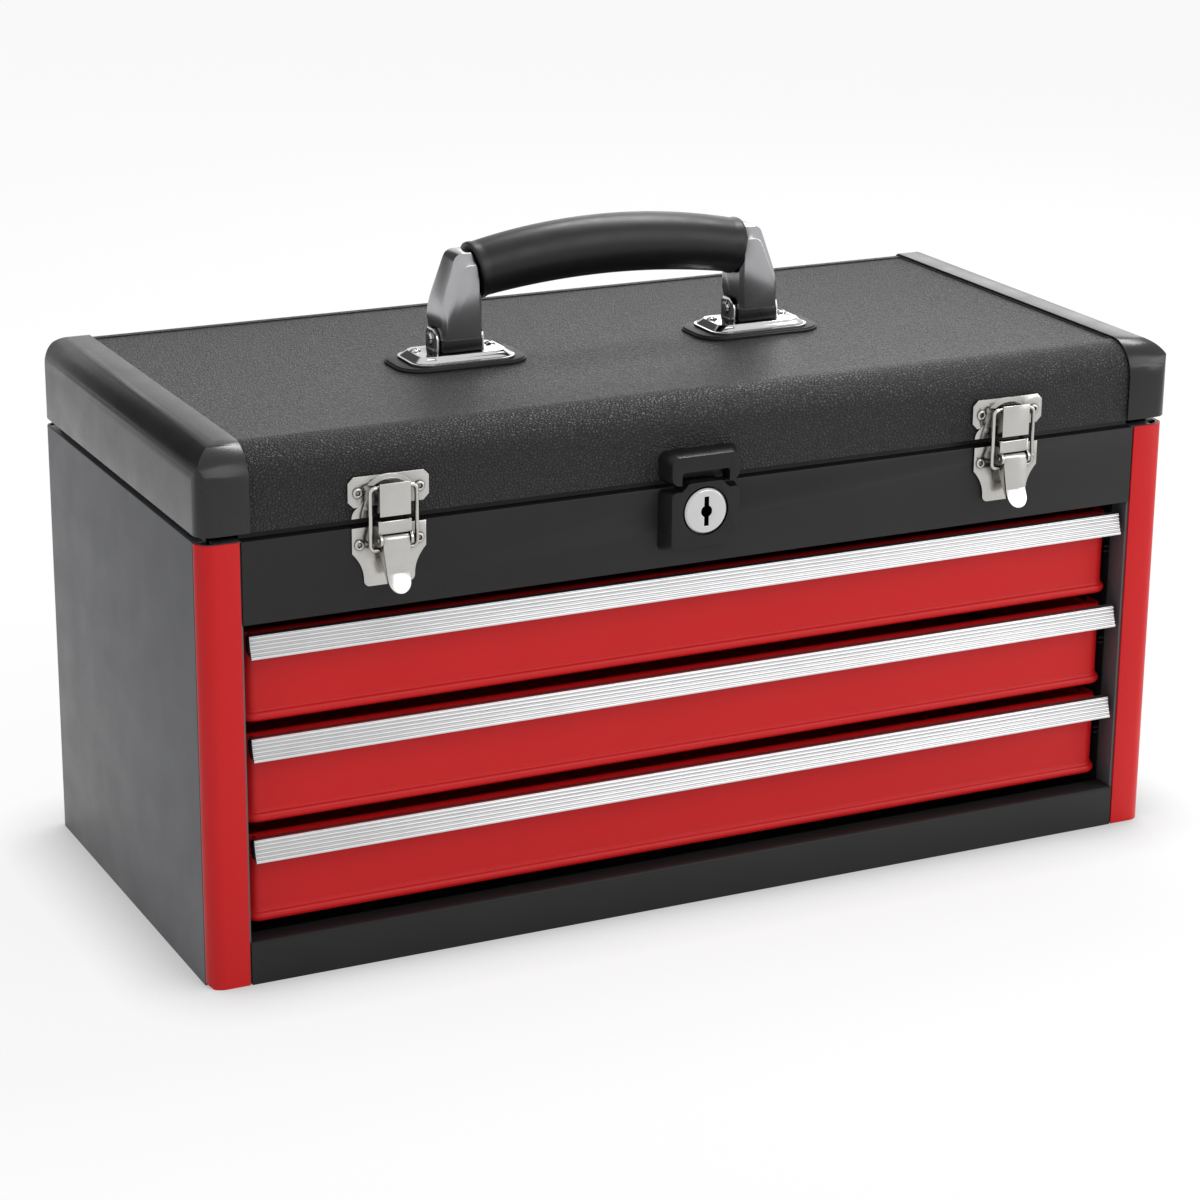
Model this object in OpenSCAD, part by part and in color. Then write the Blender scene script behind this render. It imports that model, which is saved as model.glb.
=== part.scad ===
// Portable tool box: sheet-steel case with a hinged lid, three drawers, two draw
// latches, a cylinder lock and a folding carry handle. Millimetres, +Z up, front
// towards -Y, origin at the centre of the base.

/* [Case] */
// Width over the side panels
body_w = 520; // [460:1:600]
// Depth from the corner posts to the back panel
body_d = 232; // [210:1:280]
// Height of the case up to the lid joint
body_h = 217; // [213:1:224]
// Thickness of the case sheet
sheet = 1.2; // [0.8:0.1:1.5]
// Outer radius of the rear vertical corners
rear_r = 6; // [4:0.5:9]
// Width of the wrap of a side panel on the back
rear_wrap = 16; // [12:1:24]
// Width of the turned-in bottom hems
bottom_hem = 12; // [9:1:16]
// Width of the turned-in top hems
top_hem = 7; // [5:0.5:9]
// Height of the upstand that the lid closes over
upstand_h = 3.7; // [2:0.1:3.7]

/* [Corner posts and rails] */
// Front width of a corner post
post_w = 19.5; // [17:0.5:26]
// Outer radius of the front vertical corners
post_r = 8; // [5:0.5:10]
// Height of the front rail above the drawers
top_rail_h = 39.6; // [36:0.1:42]
// Height of the front rail below the drawers
bottom_rail_h = 21.4; // [14:0.1:21.8]
// Visible joint between neighbouring panels
seam = 0.8; // [0.5:0.1:0.9]
// Fit between two nested sheets
nest = 0.15; // [0.05:0.05:0.2]

/* [Lid] */
// Height of the joint between case and lid
lid_gap = 4; // [4:0.1:4.6]
// Height of the lid from its rim to its top
lid_h = 40; // [37:0.5:50]
// How far the lid stands out past the case at the front
lid_lip = 1; // [0.5:0.1:2]
// Thickness of the lid sheet
lid_sheet = 1; // [0.8:0.1:1.4]
// Width of an end cap on the lid top
cap_w = 25; // [20:0.5:40]
// Outer radius of the front top bend
lid_bend_r = 18; // [14:0.5:22]
// Outer radius of the rear top bend
lid_rear_r = 4; // [3:0.5:8]
// Outer radius of the top side bend of an end cap
cap_top_r = 15; // [10:0.5:18]
// Outer radius of the upright corners of an end cap
cap_side_r = 8; // [5:0.5:10]
// Depth of the sunk panel in the lid top
panel_drop = 0.6; // [0.3:0.1:0.9]
// Width of the raised strip behind the sunk panel
panel_rear = 7; // [5:0.5:12]
// Width of the turned-in hem along the lid rim
lid_hem = 9; // [8:0.5:12]

/* [Hinge] */
// Radius of the hinge pin
hinge_pin_r = 1; // [0.8:0.1:1.2]
// Wall of the hinge knuckles
knuckle_wall = 1.15; // [0.9:0.05:1.3]
// Length of the piano hinge
hinge_len = 452; // [300:4:460]
// Number of hinge knuckles, shared by both leaves
knuckles = 16; // [8:2:24]
// Height of a hinge leaf
leaf_h = 16; // [10:1:20]

/* [Drawers] */
// Joint between one drawer and the next
drawer_joint = 5.1; // [3:0.1:6]
// Joint between the lowest drawer and the rail below it
drawer_foot = 4.8; // [3:0.1:6]
// Joint between the top drawer and the rail above it
drawer_head = 6.6; // [4:0.1:8]
// Joint between a drawer front and the posts
drawer_gap = 4.5; // [4:0.1:6]
// Setback of the drawer fronts behind the corner posts
face_setback = 12; // [10:0.5:15]
// Depth of a drawer tray behind its front
drawer_depth = 200; // [150:1:206]
// How far the tray walls stay below the ledge of the front
tray_drop = 3.6; // [3:0.1:16]
// Thickness of the drawer sheet
tray_t = 1; // [0.8:0.1:1.2]
// Radius of the beaded lower edge of a drawer front
bead_r = 2.6; // [2:0.1:3]
// Radius of the upright bends of a drawer front
front_r = 6; // [4:0.5:8]
// Height of the aluminium pull
pull_h = 10.4; // [8:0.1:12]
// Thickness of the pull profile
pull_t = 1.5; // [1.2:0.1:2]
// How far the lower edge of the pull leans out
pull_lean = 3; // [1:0.1:4]
// Number of ribs along the pull
pull_ribs = 6; // [3:1:9]

/* [Latches] */
// Distance of the left latch from the left side of the case
latch_left_in = 91.3; // [70:0.1:140]
// Distance of the right latch from the right side of the case
latch_right_in = 97; // [70:0.1:140]
// Thickness of the latch sheet
latch_t = 1.2; // [1:0.1:1.3]
// Half the width of the strike plate
strike_half = 20; // [19:0.5:24]
// Height of the strike plate
strike_h = 14.6; // [13:0.1:16]
// Half the width of the base plate
base_half = 18.3; // [17.5:0.1:22]
// Height of the base plate
base_plate_h = 28.4; // [26:0.2:34]
// Radius of the bail wire
bail_r = 1; // [0.8:0.05:1.1]
// Half the distance between the two bail wires
bail_half = 11.4; // [11:0.1:13]
// Distance from the lever pivot to the bail pivot
throw_r = 5; // [4.8:0.1:5.2]
// Angle that the bail pivot lies past dead centre
over_centre = 14; // [12:1:16]
// Radius of the lever pivot pin
lever_pin_r = 1.1; // [0.9:0.05:1.2]
// Half the width of the lever
lever_half = 6.6; // [6:0.1:6.8]
// Length of the lever below its pivot
lever_len = 24; // [20:0.5:26]

/* [Lock] */
// Sideways place of the lock
lock_x = -9.5; // [-20:0.5:20]
// Distance of the lock cylinder below the top of the case
lock_drop = 11.1; // [10:0.1:13]
// Half the width of the lock housing at its face
lock_half = 18; // [15:0.5:22]
// How far the lock housing stands out
lock_out = 9; // [7:0.5:11]
// How far the sides of the lock housing flare out
lock_draft = 3; // [2:0.5:5]
// Radius of the lock cylinder at its face
cylinder_r = 11.3; // [9.5:0.1:11.6]
// Radius of the lock barrel behind the face
barrel_r = 8.4; // [7:0.1:8.6]
// Running fit of the lock cylinder
cylinder_fit = 0.06; // [0.03:0.01:0.1]

/* [Handle] */
// Sideways place of the handle centre
handle_x = -3.8; // [-10:0.2:10]
// Place of the handle centre from front to back
handle_y = -2; // [-12:0.5:20]
// Distance from the handle centre to a bracket
bracket_x = 82; // [76:0.2:95]
// Width of a bracket at its foot
bracket_w = 21.4; // [18:0.2:24]
// Depth of a bracket
bracket_d = 22.6; // [18:0.2:24]
// Height of a bracket from its lower edge to its top
bracket_h = 42; // [38:0.5:48]
// Height of the grip centre above the handle pivot
grip_rise = 39.4; // [36:0.2:50]
// Radius of the grip in its middle
grip_r = 14.8; // [12:0.1:15.2]
// Radius of the grip at its ends
grip_end_r = 13.6; // [11:0.1:15]
// Radius of the arch of the grip
arch_r = 360; // [300:5:900]
// Distance from the handle centre to an end of the grip
grip_half = 73; // [68:0.5:76]
// Radius of the handle pivot pins
handle_pin_r = 2; // [1.5:0.1:2.5]
// Thickness of the rubber pads
pad_t = 2; // [1.5:0.5:5]
// Height of the handle plates
plate_t = 4; // [3:0.1:5]

/* [Hidden] */
$fn = 48;

eps = 0.02;
far = 1000;
graphite = "#3a3a3b";
satin_grey = "#56585a";
signal_red = "#c02424";
bright_steel = "#c9c8c4";
rubber_black = "#1d1d1e";
aluminium = "#d9dadb";

half_w = body_w / 2;
front_y = -body_d / 2;
back_y = body_d / 2;
run = 0.3;                                  // clearance between faces that slide past each other
// Side panels run on under the posts, one sheet thickness and a fit further in.
under_post = sheet + nest;
side_front_y = front_y + post_r + seam;     // where the visible side panel begins
post_in_x = half_w - post_w;                // inner edge of a post
throat_x = post_in_x - sheet;               // inner face of the drawer opening
return_d = 14;                              // depth of the return behind a post
rear_in_x = half_w - rear_wrap;             // where the side panel wrap ends on the back
lap = 8;                                    // joggled lap behind the wrap
till_z = body_h - top_rail_h;               // underside of the top rail
rail_flange = 12;                           // inward flange of a front rail
upstand_in = top_hem - sheet;               // distance from the outer face to the upstand

lid_z = body_h + lid_gap;
lid_top = lid_z + lid_h;
lid_front_y = front_y - lid_lip;
lid_half = half_w + lid_lip / 2;
cover_drop = lid_sheet + nest;              // the cover lies one cap sheet lower than the caps
cap_in_x = lid_half - cap_w;                // inner edge of an end cap
cover_half = cap_in_x + 6;                  // the cover laps under the caps
cover_top = lid_top - cover_drop;
panel_z = cover_top - panel_drop;           // the sunk panel that carries the handle
cover_front_y = lid_front_y + cover_drop;

knuckle_r = hinge_pin_r + knuckle_wall;
leaf_t = 1;
hinge_y = back_y + knuckle_r + run;
hinge_z = body_h + lid_gap / 2;
knuckle_len = hinge_len / knuckles;
pin_fit = 0.05;

face_half = post_in_x - drawer_gap;         // half the width of a drawer front
face_y = front_y + face_setback;
tray_half = face_half - sheet - nest;
tray_front_y = face_y + sheet + nest;
tray_back_y = tray_front_y + drawer_depth;
tray_lift = 3;                              // tray floor above the lower edge of the front
// Three drawers share the height between the rails.
drawer_base = bottom_rail_h + drawer_foot;  // height of the lowest drawer above the base
drawer_h = (till_z - drawer_head - drawer_base - 2 * drawer_joint) / 3;
drawer_pitch = drawer_h + drawer_joint;
ledge_t = 1.2;
ledge_z = drawer_h - ledge_t;               // height of the ledge that carries the pull
tray_h = ledge_z - tray_lift - tray_drop;
pull_set = 3;                               // setback of the pull behind the posts, at its top
pull_top_y = front_y + pull_set;
ledge_out = face_setback - pull_set - pull_t - nest;   // how far the ledge stands out
slide_z = drawer_h / 2 - 0.4;               // height of a drawer slide above the lower edge
slide_set = 24;                             // setback of a slide behind the face of its drawer
slide_t = 1;
slide_web_h = 12;
foot_out = throat_x - tray_half - 2.5;      // how far a slide foot reaches towards the liner
shoulder_y = front_y + return_d + run;      // where the floors widen and the liners begin
liner_back_y = back_y - 3 * sheet - nest;

strike_y = cover_front_y;                   // face that carries the strike plates
strike_rise = 20.2;                         // height of the strike plates above the lid rim
strike_top_z = lid_z + strike_rise;
latch_left_x = -half_w + latch_left_in;
latch_right_x = half_w - latch_right_in;
strike_front_y = strike_y - latch_t;
rail_face_y = front_y;
base_front_y = rail_face_y - latch_t;
pivot_y = rail_face_y - 8;
pivot_z = body_h - 5;
bail_y = pivot_y + throw_r * sin(over_centre);
bail_z = pivot_z - throw_r * cos(over_centre);
hook_z = lid_z + 14.4;                      // floor of the groove that the bail lies in
hook_top_z = hook_z + 2 * bail_r + 1.5;
bar_z = hook_z + bail_r + 0.1;              // crossbar of the bail
bar_y = bail_y;
hook_lip_t = 1.2;
hook_lip_y = bar_y - bail_r - 0.3;          // inner face of the hook lip
// The wire leans on the front of the lip, taken off the hook, so that the lid can move.
bail_len = bar_z - bail_z;
bar_front_y = hook_lip_y - hook_lip_t - bail_r - run;
bail_lean = asin((bail_y - bar_front_y) / bail_len);
hook_half = 7.6;
apron_h = 15.6;
bridge_z = pivot_z + 2.9;                   // lower edge of the bridge above the lever
bridge_h = 6.2;
lever_pin_fit = 0.06;
ear_t = 1.2;
ear_in = lever_half + run;
ear_out = ear_in + ear_t;
curl_r = 2.4;
lever_t = 1;
rivet_r = 2.6;

housing_y = front_y;
housing_front_y = housing_y - lock_out;
lock_z = body_h - lock_drop;
housing_below = 17.4;                       // how far the housing reaches below the cylinder
housing_low_z = lock_z - housing_below;
lock_step = 1.5;                            // wall of the housing behind the cylinder face
barrel_len = 12;
cam_bore = 3.5;
hood_z = lid_z - 1.5;

pivot_h_y = handle_y + 1;                   // the handle pivots just behind its own middle
pad_z = panel_z;
plate_z = pad_z + pad_t;
plate_top_z = plate_z + plate_t;
pivot_h_z = plate_top_z + 5.8;
foot_z = pivot_h_z + 0.6;                   // lower edge of the bracket face
lug_r = 5.3;
arch_z = pivot_h_z + grip_rise - arch_r;
grip_angle = asin(grip_half / arch_r);
plate_half = 27.5;
screw_x = 20;                               // distance of a screw from the middle of its plate
slot_in = 9;                                // distance of a slot from the end of its plate
plug_h = 9;                                 // height of a foot block inside its bracket
plate_half_d = 16;
plate_y = handle_y - 2;
pad_half = 34.5;
pad_half_d = 18.5;
handle_ear_t = 1.5;

function drawer_z(n) = drawer_base + (3 - n) * drawer_pitch;
function side(s) = (s < 0) ? [0, 0, 0] : [1, 0, 0];

// ---------- shared 2D and 3D shapes ----------

// Rectangle from corner a to corner b with round corners.
module round_box(a, b, r) {
    hull_w = b[0] - a[0];
    hull_d = b[1] - a[1];
    translate([a[0] + r, a[1]]) square([hull_w - 2 * r, hull_d]);
    translate([a[0], a[1] + r]) square([hull_w, hull_d - 2 * r]);
    for (x = [a[0] + r, b[0] - r], y = [a[1] + r, b[1] - r]) translate([x, y]) circle(r);
}

// Plain rectangle from corner a to corner b.
module box2(a, b) translate(a) square(b - a);

// Box from corner a to corner b.
module box3(a, b) translate(a) cube(b - a);

// Quarter of a ring: sx and sy choose the quadrant.
module bend(r, t, sx, sy) {
    intersection() {
        difference() {
            circle(r);
            circle(r - t);
        }
        box2([min(0, sx * far), min(0, sy * far)], [max(0, sx * far), max(0, sy * far)]);
    }
}

// Extrudes a profile drawn in (y, z) along x from x0 to x1.
module along_x(x0, x1) {
    translate([x0, 0, 0]) rotate([90, 0, 90]) linear_extrude(x1 - x0) children();
}

// Extrudes a profile drawn in (x, z) along y from y0 to y1.
module along_y(y0, y1) {
    translate([0, y1, 0]) rotate([90, 0, 0]) linear_extrude(y1 - y0) children();
}

// Extrudes a plan drawn in (x, y) from z0 to z1.
module along_z(z0, z1) translate([0, 0, z0]) linear_extrude(z1 - z0) children();

// Cylinder along x.
module rod_x(x0, x1, y, z, r) translate([x0, y, z]) rotate([0, 90, 0]) cylinder(h = x1 - x0, r = r);

// Cylinder along y.
module rod_y(y0, y1, x, z, r) translate([x, y1, z]) rotate([90, 0, 0]) cylinder(h = y1 - y0, r = r);

// ---------- case ----------

// Plan of a floor that fills the case, drawn in by d: wide behind the returns of the side
// panels, with round rear corners, and narrower between the returns.
module floor_plan(half, tongue, front, back, d) {
    box2([-half + d, shoulder_y + d], [half - d, back - rear_r]);
    box2([-half + rear_r, shoulder_y + d], [half - rear_r, back - d]);
    for (s = [-1, 1]) translate([s * (half - rear_r), back - rear_r]) circle(rear_r - d);
    box2([-tongue + d, front + d], [tongue - d, shoulder_y + 2 * sheet]);
}

module base_pan() color(graphite) {
    half = half_w - sheet - nest;
    tongue = throat_x - run;
    front = front_y + under_post + sheet + nest;
    back = back_y - 2 * sheet - nest;
    flange_h = 12;
    bead_w = 8;
    bead_end = half - 6 * bead_w;
    dish_in = bottom_hem + 4;
    dish_a = [-half_w + dish_in, front_y + dish_in];
    dish_b = [half_w - dish_in, back_y - dish_in];
    dish_r = 6;
    // floor on the hems, pressed down to the ground between them
    difference() {
        along_z(sheet, 2 * sheet) floor_plan(half, tongue, front, back, 0);
        along_z(0, 3 * sheet) round_box(dish_a + [sheet, sheet], dish_b - [sheet, sheet], dish_r - sheet);
    }
    along_z(0, 2 * sheet) difference() {
        round_box(dish_a, dish_b, dish_r);
        round_box(dish_a + [sheet, sheet], dish_b - [sheet, sheet], dish_r - sheet);
    }
    along_z(0, sheet) round_box(dish_a, dish_b, dish_r);
    along_z(sheet, sheet + flange_h) difference() {
        floor_plan(half, tongue, front, back, 0);
        floor_plan(half, tongue, front, back, sheet);
        // no flange where the liners stand
        box2([-half + sheet, shoulder_y - eps], [-tongue, shoulder_y + 2 * sheet]);
        box2([tongue, shoulder_y - eps], [half - sheet, shoulder_y + 2 * sheet]);
    }
    // two stiffening beads pressed into the floor
    for (y = [-body_d / 5, body_d / 5])
        along_x(-bead_end, bead_end) translate([y, sheet]) intersection() {
            circle(bead_w / 2);
            box2([-bead_w, 0], [bead_w, bead_w]);
        }
}

// Plan of the left side panel wall, with its path under the post and its rear wrap.
module side_plan() {
    post_c = [-half_w + post_r, front_y + post_r];
    rear_c = [-half_w + rear_r, back_y - rear_r];
    // long visible wall
    box2([-half_w, side_front_y], [-half_w + sheet, rear_c[1]]);
    // jog inwards behind the edge of the post
    box2([-half_w, side_front_y], [-half_w + under_post + sheet, side_front_y + sheet]);
    box2([-half_w + under_post, post_c[1]], [-half_w + under_post + sheet, side_front_y + sheet]);
    translate(post_c) bend(post_r - under_post, sheet, -1, -1);
    box2([post_c[0], front_y + under_post], [-throat_x, front_y + under_post + sheet]);
    // return towards the back at the drawer opening
    box2([-throat_x - sheet, front_y + under_post], [-throat_x, front_y + return_d]);
    // rear corner and wrap
    translate(rear_c) bend(rear_r, sheet, -1, 1);
    box2([rear_c[0], back_y - sheet], [-rear_in_x, back_y]);
}

module left_side_panel() {
    inner_front_y = front_y + under_post + sheet;
    along_z(0, body_h) side_plan();
    along_z(0, sheet) box2([-half_w, side_front_y], [-half_w + bottom_hem, back_y - rear_r]);
    along_z(body_h - sheet, body_h) box2([-half_w, side_front_y], [-half_w + top_hem, back_y - rear_r]);
    along_z(body_h - sheet, body_h + upstand_h)
        box2([-half_w + upstand_in, side_front_y], [-half_w + top_hem, back_y - top_hem]);
    along_z(body_h - sheet, body_h) box2([-half_w + post_r, inner_front_y - eps], [-throat_x, side_front_y]);
}

module left_side() color(satin_grey) left_side_panel();
module right_side() color(satin_grey) mirror([1, 0, 0]) left_side_panel();

module back_panel() color(satin_grey) {
    x0 = rear_in_x - nest;
    lap_y = back_y - sheet - nest;
    difference() {
        union() {
            along_z(0, body_h) {
                box2([-x0, back_y - sheet], [x0, back_y]);
                for (s = [-1, 1]) mirror(side(s)) {
                    box2([-x0, lap_y - sheet], [-x0 + sheet, back_y]);
                    box2([-x0 - lap, lap_y - sheet], [-x0 + sheet, lap_y]);
                }
            }
            along_z(0, sheet) box2([-x0, back_y - bottom_hem], [x0, back_y]);
            along_z(body_h - sheet, body_h) box2([-x0, back_y - top_hem], [x0, back_y]);
            along_z(body_h - sheet, body_h + upstand_h)
                box2([-x0, back_y - top_hem], [x0, back_y - upstand_in]);
        }
    }
}

// Profile of the upper front rail in (y, z).
module top_rail_profile() {
    box2([front_y, till_z], [front_y + sheet, body_h]);
    box2([front_y, till_z], [front_y + rail_flange, till_z + sheet]);
    box2([front_y, body_h - sheet], [front_y + top_hem, body_h]);
    box2([front_y + upstand_in, body_h - sheet], [front_y + top_hem, body_h + upstand_h]);
}

module front_top_rail() color(graphite) {
    x1 = post_in_x - seam;
    tab_x = throat_x - nest;
    difference() {
        union() {
            along_x(-x1, x1) top_rail_profile();
            // end tabs beside the returns of the side panels
            for (s = [-1, 1]) mirror(side(s))
                box3([-tab_x, front_y, till_z], [-tab_x + sheet, front_y + rail_flange, body_h]);
        }
        // the ends of the rail step back between the returns
        for (s = [-1, 1]) mirror(side(s))
            box3([-far, front_y + sheet, -far], [-tab_x, far, far]);
        rod_y(front_y - sheet, front_y + 2 * sheet, lock_x, lock_z, barrel_r + cylinder_fit);
    }
}

module front_bottom_rail() color(graphite) {
    x1 = post_in_x - seam;
    tab_x = throat_x - nest;
    difference() {
        union() {
            along_x(-x1, x1) {
                box2([front_y, 0], [front_y + sheet, bottom_rail_h - sheet]);
                translate([front_y + 2 * sheet, bottom_rail_h - 2 * sheet]) bend(2 * sheet, sheet, -1, 1);
                box2([front_y, 0], [front_y + sheet, bottom_rail_h - 2 * sheet]);
                box2([front_y + 2 * sheet, bottom_rail_h - sheet], [front_y + rail_flange, bottom_rail_h]);
                box2([front_y + rail_flange - sheet, bottom_rail_h - 5],
                     [front_y + rail_flange, bottom_rail_h]);
                box2([front_y, 0], [front_y + bottom_hem, sheet]);
            }
            for (s = [-1, 1]) mirror(side(s))
                box3([-tab_x, front_y, 0], [-tab_x + sheet, front_y + 2 * sheet, bottom_rail_h - 2 * sheet]);
        }
        for (s = [-1, 1]) mirror(side(s))
            box3([-far, front_y + sheet, -far], [-tab_x, far, far]);
    }
}

// Corner post: a pressed cover strip that wraps the front corner.
module left_post_strip() {
    c = [-half_w + post_r, front_y + post_r];
    bottom_r = 3;
    difference() {
        along_z(0, body_h) {
            box2([c[0], front_y], [-post_in_x, front_y + sheet]);
            translate(c) bend(post_r, sheet, -1, -1);
        }
        // small chamfer at the foot of the outer edge
        translate([-half_w, 0, 0]) rotate([0, 45, 0]) cube([bottom_r, far, bottom_r], center = true);
    }
}

module left_post() color(signal_red) left_post_strip();
module right_post() color(signal_red) mirror([1, 0, 0]) left_post_strip();

// Floor of the top compartment, resting on the top rail flange and the liners.
module till_floor() color(graphite) {
    z0 = till_z + sheet;
    half = half_w - sheet - run;
    tongue = throat_x - nest - sheet - run;
    front = front_y + sheet + nest;
    back = back_y - 2 * sheet - 2 * nest;
    along_z(z0, z0 + sheet) floor_plan(half, tongue, front, back, 0);
}

// Liner inside a side panel, with one channel for each drawer slide.
module left_liner_panel() {
    x0 = -throat_x - sheet;
    lip_in = throat_x - face_half - run;
    wall_x = -throat_x;
    z1 = till_z + sheet;
    y0 = shoulder_y;
    foot_gap = slide_t + 2 * run;
    box3([x0, y0, 2 * sheet], [wall_x, liner_back_y, z1]);
    // foot on the pan, flange against the back and shelf for the till floor
    box3([x0 - 8, y0, 2 * sheet], [wall_x, liner_back_y, 3 * sheet]);
    box3([x0 - 12, liner_back_y - sheet, 2 * sheet], [wall_x, liner_back_y, z1]);
    box3([x0, y0, z1 - sheet], [wall_x + 6, liner_back_y, z1]);
    for (n = [1, 2, 3]) {
        zc = drawer_z(n) + slide_z + slide_t / 2;
        for (s = [-1, 1]) {
            z_lip = zc + s * (foot_gap / 2 + slide_t / 2);
            box3([wall_x - eps, y0, z_lip - slide_t / 2],
                 [wall_x + lip_in, liner_back_y - 4, z_lip + slide_t / 2]);
        }
    }
}

module left_liner() color(graphite) left_liner_panel();
module right_liner() color(graphite) mirror([1, 0, 0]) left_liner_panel();

// ---------- piano hinge ----------

// One leaf with every second knuckle; up is 1 for the lid leaf and -1 for the case leaf.
module hinge_leaf(up) {
    x_start = -hinge_len / 2;
    wall_y = back_y;
    first = (up > 0) ? 1 : 0;
    edge = knuckle_r + run;
    axial = 0.15;
    difference() {
        union() {
            box3([x_start, wall_y, min(hinge_z + up * edge, hinge_z + up * (edge + leaf_h))],
                 [-x_start, wall_y + leaf_t, max(hinge_z + up * edge, hinge_z + up * (edge + leaf_h))]);
            for (i = [first : 2 : knuckles - 1]) {
                xa = x_start + i * knuckle_len + axial;
                xb = x_start + (i + 1) * knuckle_len - axial;
                rod_x(xa, xb, hinge_y, hinge_z, knuckle_r);
                box3([xa, hinge_y - knuckle_r, min(hinge_z, hinge_z + up * (edge + 1))],
                     [xb, hinge_y - knuckle_r + leaf_t, max(hinge_z, hinge_z + up * (edge + 1))]);
                box3([xa, wall_y, min(hinge_z + up * edge, hinge_z + up * (edge + 1))],
                     [xb, hinge_y - knuckle_r + leaf_t,
                      max(hinge_z + up * edge, hinge_z + up * (edge + 1))]);
            }
        }
        rod_x(x_start - 1, -x_start + 1, hinge_y, hinge_z, hinge_pin_r + pin_fit);
    }
}

module hinge_case_leaf() color(bright_steel) hinge_leaf(-1);
module hinge_lid_leaf() color(bright_steel) hinge_leaf(1);
module hinge_pin() color(bright_steel) rod_x(-hinge_len / 2, hinge_len / 2, hinge_y, hinge_z, hinge_pin_r);

// ---------- lid ----------

// Solid outline of the lid section in (y, z), drawn in by d on every outer side.
module lid_section(d) {
    y0 = lid_front_y + d;
    y1 = back_y - d;
    z1 = lid_top - d;
    rf = lid_bend_r - d;
    rr = max(lid_rear_r - d, 0.5);
    box2([y0, lid_z], [y1, z1 - rf]);
    box2([y0 + rf, lid_z], [y1 - rr, z1]);
    box2([y0 + rf, lid_z], [y1, z1 - rr]);
    translate([y0 + rf, z1 - rf]) circle(rf);
    translate([y1 - rr, z1 - rr]) circle(rr);
}

module lid_cover() color(graphite) {
    panel_y0 = lid_front_y + lid_bend_r;
    panel_y1 = back_y - panel_rear;
    inner = cover_drop + lid_sheet + panel_drop;
    hem_y = cover_front_y + lid_hem;
    full_x = cap_in_x - nest;               // half the width that reaches the full depth
    joggle_x = full_x - lid_sheet;
    difference() {
        union() {
            along_x(-full_x, full_x) lid_section_open_back(cover_drop);
            along_x(-cover_half, cover_half) lid_section(cover_drop);
        }
        difference() {
            union() {
                along_x(-joggle_x, joggle_x) lid_section_inside(inner, back_y - lid_sheet);
                along_x(-far, far) lid_section_inside(inner, back_y - cover_drop - lid_sheet);
            }
            // turned-in hems along the front and the rear rim
            box3([-far, cover_front_y, lid_z - 1], [far, hem_y, lid_z + sheet]);
            box3([-far, back_y - lid_hem, lid_z - 1], [far, back_y, lid_z + sheet]);
        }
        // sunk panel
        box3([-cap_in_x + 1, panel_y0, panel_z], [cap_in_x - 1, panel_y1, far]);
    }
}

// The cover reaches the full depth at the back, where no cap laps over it.
module lid_section_open_back(d) {
    lid_section(d);
    box2([back_y - d - 2 * lid_rear_r, lid_z], [back_y, lid_top - d - lid_rear_r]);
    box2([back_y - d - 2 * lid_rear_r, lid_z], [back_y - lid_rear_r, lid_top - d]);
    translate([back_y - lid_rear_r, lid_top - d - lid_rear_r]) circle(lid_rear_r);
}

// Hollow of the cover, d below the lid top and up to y1 at the back.
module lid_section_inside(d, y1) {
    y0 = cover_front_y + lid_sheet;
    z1 = lid_top - d;
    rf = lid_bend_r - d;
    box2([y0, lid_z - 1], [y1, z1 - rf]);
    box2([y0 + rf, lid_z - 1], [y1, z1]);
    translate([y0 + rf, z1 - rf]) circle(rf);
}

// Rounded end block, drawn in by d on its outer sides, that all cap faces follow.
module cap_block(d) {
    x0 = -lid_half + d;
    y0 = lid_front_y + d;
    y1 = back_y - d;
    z1 = lid_top - d;
    rt = cap_top_r - d;
    rs = cap_side_r - d;
    intersection() {
        along_x(x0, 0) lid_section(d);
        along_y(y0, y1) {
            box2([x0, lid_z], [0, z1 - rt]);
            box2([x0 + rt, lid_z], [0, z1]);
            translate([x0 + rt, z1 - rt]) circle(rt);
        }
        along_z(lid_z, z1) {
            box2([x0, y0 + rs], [0, y1 - rs]);
            box2([x0 + rs, y0], [0, y1]);
            for (y = [y0 + rs, y1 - rs]) translate([x0 + rs, y]) circle(rs);
        }
    }
}

module left_cap() {
    difference() {
        cap_block(0);
        difference() {
            cap_block(lid_sheet);
            // turned-in hem along the rim
            box3([-far, -far, lid_z - 1], [-lid_half + lid_hem, far, lid_z + sheet]);
        }
        box3([-cap_in_x, -far, -far], [far, far, far]);
    }
}

module left_lid_cap() color(graphite) left_cap();
module right_lid_cap() color(graphite) mirror([1, 0, 0]) left_cap();

// ---------- draw latches ----------

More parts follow.
